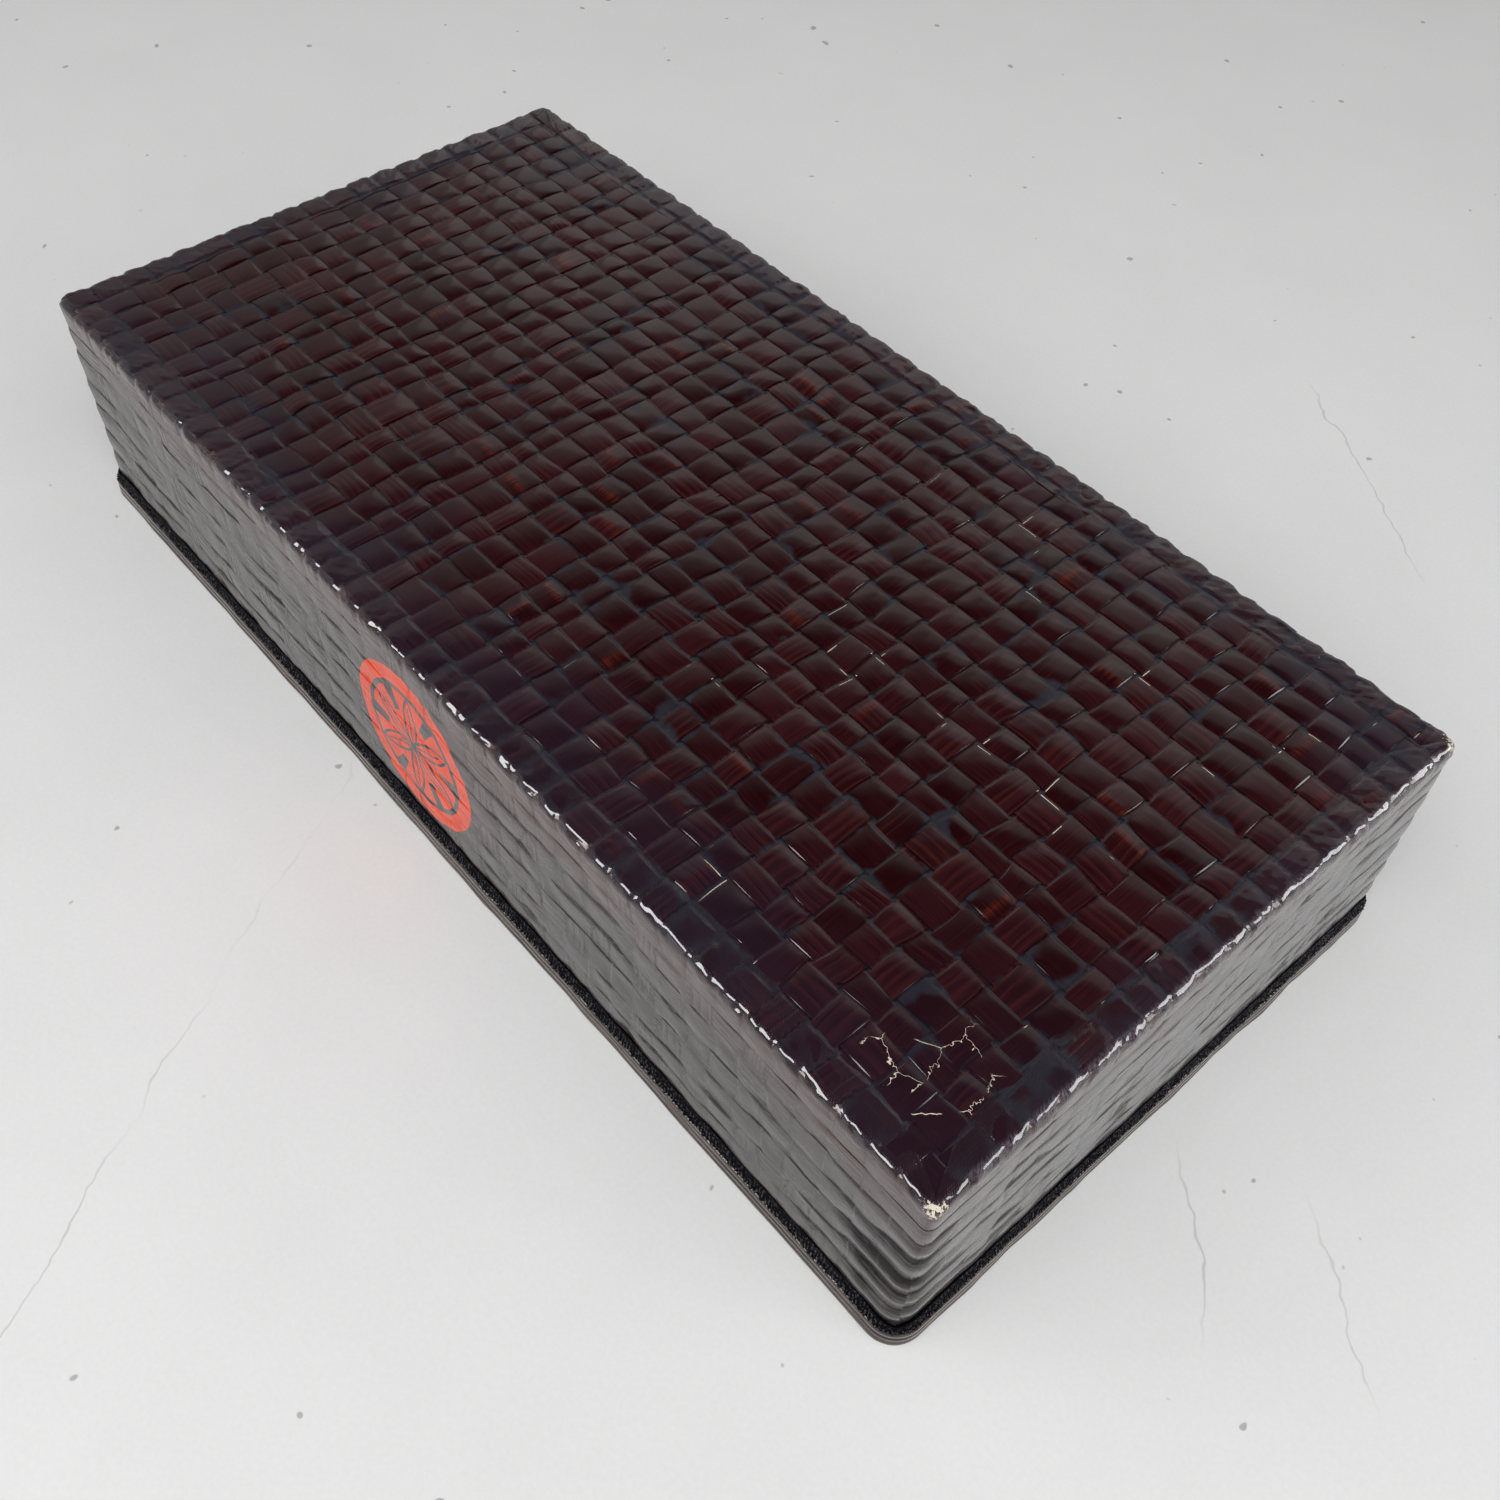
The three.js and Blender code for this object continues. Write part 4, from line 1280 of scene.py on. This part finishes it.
class BASKET_OT_hoops(bpy.types.Operator):
    """Make the outer hoops of split bamboo"""

    bl_idname = "basket.hoops"
    bl_label = "Outer hoops"

    # Distance between sections
    SPACING = {"lid": 0.0022, "base": 0.005}

    # Heights of the steps on the face and of the waves at top and foot, and how far the back ends short
    STEPS, TOP_WAVE, FOOT_WAVE, SHORT = 0.00012, 0.0004, 0.0003, 0.0005

    def execute(self, context):
        finish = hoop_finish("lacquered_hoop")
        for name in TRAYS:
            self.hoop(Tray(name), finish)
        return {"FINISHED"}

    def hoop(self, tray, finish):
        """Ring of sections: a face that leans out towards the foot, with two drawn lines and eased edges,
        and a straight back. The whole face bulges in and out along the hoop."""
        look = settings("hoop")
        height = look.height
        up = np.array([0.0, 0.05, 0.12, 0.30, 0.34, 0.38, 0.42, 0.64, 0.68, 0.72, 0.76, 0.90, 0.96, 1.0])
        inset = np.array([1.0, 0.30, 0.0, 0.0, 0.85, 0.85, 0.0, 0.0, 0.70, 0.70, 0.0, 0.0, 0.25, 0.9])
        thick = look.foot + (look.top - look.foot) * up - inset * MILLIMETRE
        fronts, backs = [], []
        for side, u, t in round_the_mouth(tray, self.SPACING[tray.name]):
            bulge = (drift(t * 15, 0.5, (60, 3), 71) * 0.6 + drift(t * 40, 0.5, (160, 3), 72) * 0.4)
            step = drift(t * 40, up[None, :] * 2, (160, 7), 73)
            grow = look.gap + thick + look.waviness * (bulge - 0.4) * (1.1 - 0.5 * up) + self.STEPS * step
            top = height + self.TOP_WAVE * drift(t * 40, 0.5, (160, 3), 74)
            low = self.FOOT_WAVE * (1 + drift(t * 24, 0.5, (96, 3), 75))
            fronts.append(tray.ring(side, u, low + (top - low) * up, grow))
            backs.append(tray.ring(side, u, np.array([[height - self.SHORT, self.SHORT]]), look.gap * 0.5))
        piece = loft(f"{tray.name}_hoop", np.concatenate(fronts), np.concatenate(backs), ring=True)
        put(piece, tray.name, f"{tray.name}_outer_hoop", finish)


class BASKET_OT_rim_cloths(bpy.types.Operator):
    """Make the hemp cloths over the steps between hoops and walls"""

    bl_idname = "basket.rim_cloths"
    bl_label = "Rim cloths"

    # Points up a section, sections in a rib, and a side's mean length, which gives the number of ribs
    POINTS, SECTIONS, MEAN_SIDE = 12, {"lid": 5, "base": 2}, 0.66

    # How far the border is ragged and falls at a corner, and the share of half a side that the fall takes
    RAGGED, FALL, FALL_SHARE = 0.0022, 0.005, 0.035

    # How far the cloth stays inside the hoop's face, its gap to the hoop, and how deep its hidden back lies
    SHORT, CLEAR, SUNK = 0.0013, 0.0001, 0.0018

    def execute(self, context):
        finish = rim_cloth_finish("lacquered_rim_cloth")
        for name in TRAYS:
            self.ledge(Tray(name), finish)
        return {"FINISHED"}

    def ledge(self, tray, finish):
        """Ring of sections from the hoop's top inwards and up to a ragged border on the wall. Threads
        stand up across it as ribs, and a hollow runs between hoop and wall."""
        cloth, hoop = settings("cloth"), settings("hoop")
        up = np.linspace(0, 1, self.POINTS)
        foot = hoop.height + self.CLEAR
        spacing = cloth.rib_pitch / self.SECTIONS[tray.name]
        ribs = round(self.MEAN_SIDE / cloth.rib_pitch)
        fronts, backs, threads = [], [], []
        for side, u, t in round_the_mouth(tray, spacing):
            ragged = drift(t * 30, 0.5, (120, 3), 81) * 0.6 + drift(t * 110, 0.5, (440, 3), 82) * 0.4
            end = 1 - np.abs(u)
            corner = np.exp(-(end / self.FALL_SHARE) ** 2)
            top = cloth.ledge_top + self.RAGGED * ragged - self.FALL * corner
            z = foot + (top - foot) * up
            reach = hoop.gap + hoop.top - self.SHORT
            slope = 1 - up ** 0.75
            rib = np.abs(np.sin(np.pi * t * ribs + 1.2 * drift(t * 300, up * 3, (1200, 5), 83)))
            knotted = drift(t * 700, up * 5, (2800, 7), 84)
            grow = reach * slope + self.CLEAR + cloth.rib_rise * (rib * 0.9 + knotted * 0.8) * (1.05 - up)
            fronts.append(tray.ring(side, u, z, grow))
            backs.append(tray.ring(side, u, np.concatenate([top, foot + 0 * top], axis=1), -self.SUNK))
            threads.append(np.stack([t + 0 * z, z, rib * (1 - 0.4 * up)], axis=-1))
        piece = loft(f"{tray.name}_ledge_cloth", np.concatenate(fronts), np.concatenate(backs),
                     {"thread": np.concatenate(threads)}, ring=True)
        put(piece, tray.name, f"{tray.name}_rim_cloth", finish)


class BASKET_OT_frame_finishes(bpy.types.Operator):
    """Give the linings, inner hoops, pegs and battens of the frame their finishes"""

    bl_idname = "basket.frame_finishes"
    bl_label = "Finishes of the hidden pieces"

    def execute(self, context):
        finishes = {
            "paper_lining": paper_finish("lining_paper"),
            "inner_hoop": hoop_finish("lacquered_inner_hoop"),
            "rim_peg": bamboo_finish("bamboo_peg", 1),
            "batten": bamboo_finish("bamboo_batten", 1),
        }
        for name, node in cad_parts.items():
            finish = next((finishes[key] for key in finishes if key in name), None)
            if finish:
                node.data.materials.clear()
                node.data.materials.append(finish)
        return {"FINISHED"}


# Way to each lamp from the middle of the basket, its distance, size and radiance, and whether it lights
# the surfaces or, as a card, only shows in the lacquer
LAMPS = {
    "main_soft": ((0.36, -0.50, 0.78), 4.0, (3.4, 3.4), 3.10, True),
    "left_soft": ((-0.36, -0.70, 0.80), 4.4, (3.2, 3.2), 1.5, True),
    "right_soft": ((0.86, 0.14, 0.76), 4.2, (3.2, 3.2), 1.7, True),
    "front_left_card": ((-0.24, -0.90, 0.58), 2.4, (1.4, 1.1), 15.0, False),
    "right_card": ((0.82, 0.52, 0.34), 2.4, (1.5, 1.2), 10.0, False),
    "far_card": ((-0.464, 0.742, 0.485), 3.0, (3.0, 1.2), 0.40, False),
    "back_card": ((-0.10, 0.72, 0.68), 3.0, (1.8, 1.0), 0.30, False),
}
LAMPS_MIDDLE = Vector((0, 0, 0.1))


class BASKET_OT_stage(bpy.types.Operator):
    """Set up camera, floor, world and lamps"""

    bl_idname = "basket.stage"
    bl_label = "Stage"

    def execute(self, context):
        scene = context.scene
        scene.view_settings.view_transform = "Standard"
        self.camera(scene)
        self.floor(scene)
        self.world(scene)
        for name, lamp in LAMPS.items():
            self.lamp(scene, name, *lamp)
        return {"FINISHED"}

    def camera(self, scene):
        look = settings("stage")
        data = bpy.data.cameras.new("photo_camera")
        data.lens, data.sensor_width, data.clip_start = look.lens, 36.0, 0.01
        camera = bpy.data.objects.new("photo_camera", data)
        camera.location = look.eye
        straight = (Vector(look.aim) - Vector(look.eye)).to_track_quat("-Z", "Y")
        camera.rotation_mode = "QUATERNION"
        camera.rotation_quaternion = straight @ Quaternion((0, 0, 1), look.roll)
        scene.collection.objects.link(camera)
        scene.camera = camera

    def floor(self, scene):
        """Flat floor, with a second face a little below it so that it is a closed slab."""
        half, thickness = 8.0, 0.02
        side = np.array([[-1, -1], [1, -1], [1, 1], [-1, 1]]) * half
        loops = np.stack([np.column_stack([side, np.full(4, z)]) for z in (0.0, -thickness)])
        floor = loft("floor", loops[:, :1], loops[:, 1:])
        floor.data.materials.append(floor_finish("pale_floor"))
        scene.collection.objects.link(floor)

    def world(self, scene):
        """Studio room: pale near the horizon, darker overhead, and plain pale to the camera."""
        looks = Looks("studio", "worlds")
        walls, ceiling, backdrop = (0.38, 0.375, 0.37), (0.014, 0.014, 0.018), (0.80, 0.80, 0.80)
        _, _, up = looks.parts(looks.add("ShaderNodeTexCoord", output="Generated"))
        room = looks.mix(up.between(0.61, 0.84), walls, ceiling)
        seen = looks.add("ShaderNodeLightPath", output="Is Camera Ray")
        background = looks.mix(seen, room, backdrop)
        shader = looks.add("ShaderNodeBackground", sockets={"Color": background, "Strength": 1.0})
        looks.add("ShaderNodeOutputWorld", sockets={"Surface": shader})
        scene.world = looks.owner

    def lamp(self, scene, name, way, distance, size, radiance, lights):
        """Lamp that looks at the basket; its power is radiance times pi times its area."""
        way = Vector(way).normalized()
        data = bpy.data.lights.new(name, "AREA")
        data.shape = "RECTANGLE"
        data.size, data.size_y = size
        data.energy = radiance * math.pi * size[0] * size[1]
        lamp = bpy.data.objects.new(name, data)
        lamp.location = LAMPS_MIDDLE + way * distance
        lamp.rotation_mode = "QUATERNION"
        lamp.rotation_quaternion = (-way).to_track_quat("-Z", "Y")
        lamp.visible_diffuse, lamp.visible_glossy = lights, not lights
        scene.collection.objects.link(lamp)


OPERATORS = (
    BASKET_OT_stage,
    BASKET_OT_weave,
    BASKET_OT_edge_cloths,
    BASKET_OT_hoops,
    BASKET_OT_rim_cloths,
    BASKET_OT_frame_finishes,
)


class BASKET_PT_panel(bpy.types.Panel):
    """Sidebar panel with one button for each group of pieces"""

    bl_idname = "BASKET_PT_panel"
    bl_label = "Woven basket"
    bl_space_type = "VIEW_3D"
    bl_region_type = "UI"
    bl_category = "Basket"

    def draw(self, context):
        for operator in OPERATORS:
            self.layout.operator(operator.bl_idname)


def register():
    for group in SETTINGS.values():
        bpy.utils.register_class(group)
    for name, group in SETTINGS.items():
        setattr(bpy.types.Scene, name, bpy.props.PointerProperty(type=group))
    for operator in OPERATORS:
        bpy.utils.register_class(operator)
    bpy.utils.register_class(BASKET_PT_panel)


def unregister():
    bpy.utils.unregister_class(BASKET_PT_panel)
    for operator in reversed(OPERATORS):
        bpy.utils.unregister_class(operator)
    for name in SETTINGS:
        delattr(bpy.types.Scene, name)
    for group in reversed(SETTINGS.values()):
        bpy.utils.unregister_class(group)


def main():
    register()
    for operator in OPERATORS:
        group, action = operator.bl_idname.split(".")
        getattr(getattr(bpy.ops, group), action)()


if __name__ == "__main__":
    main()
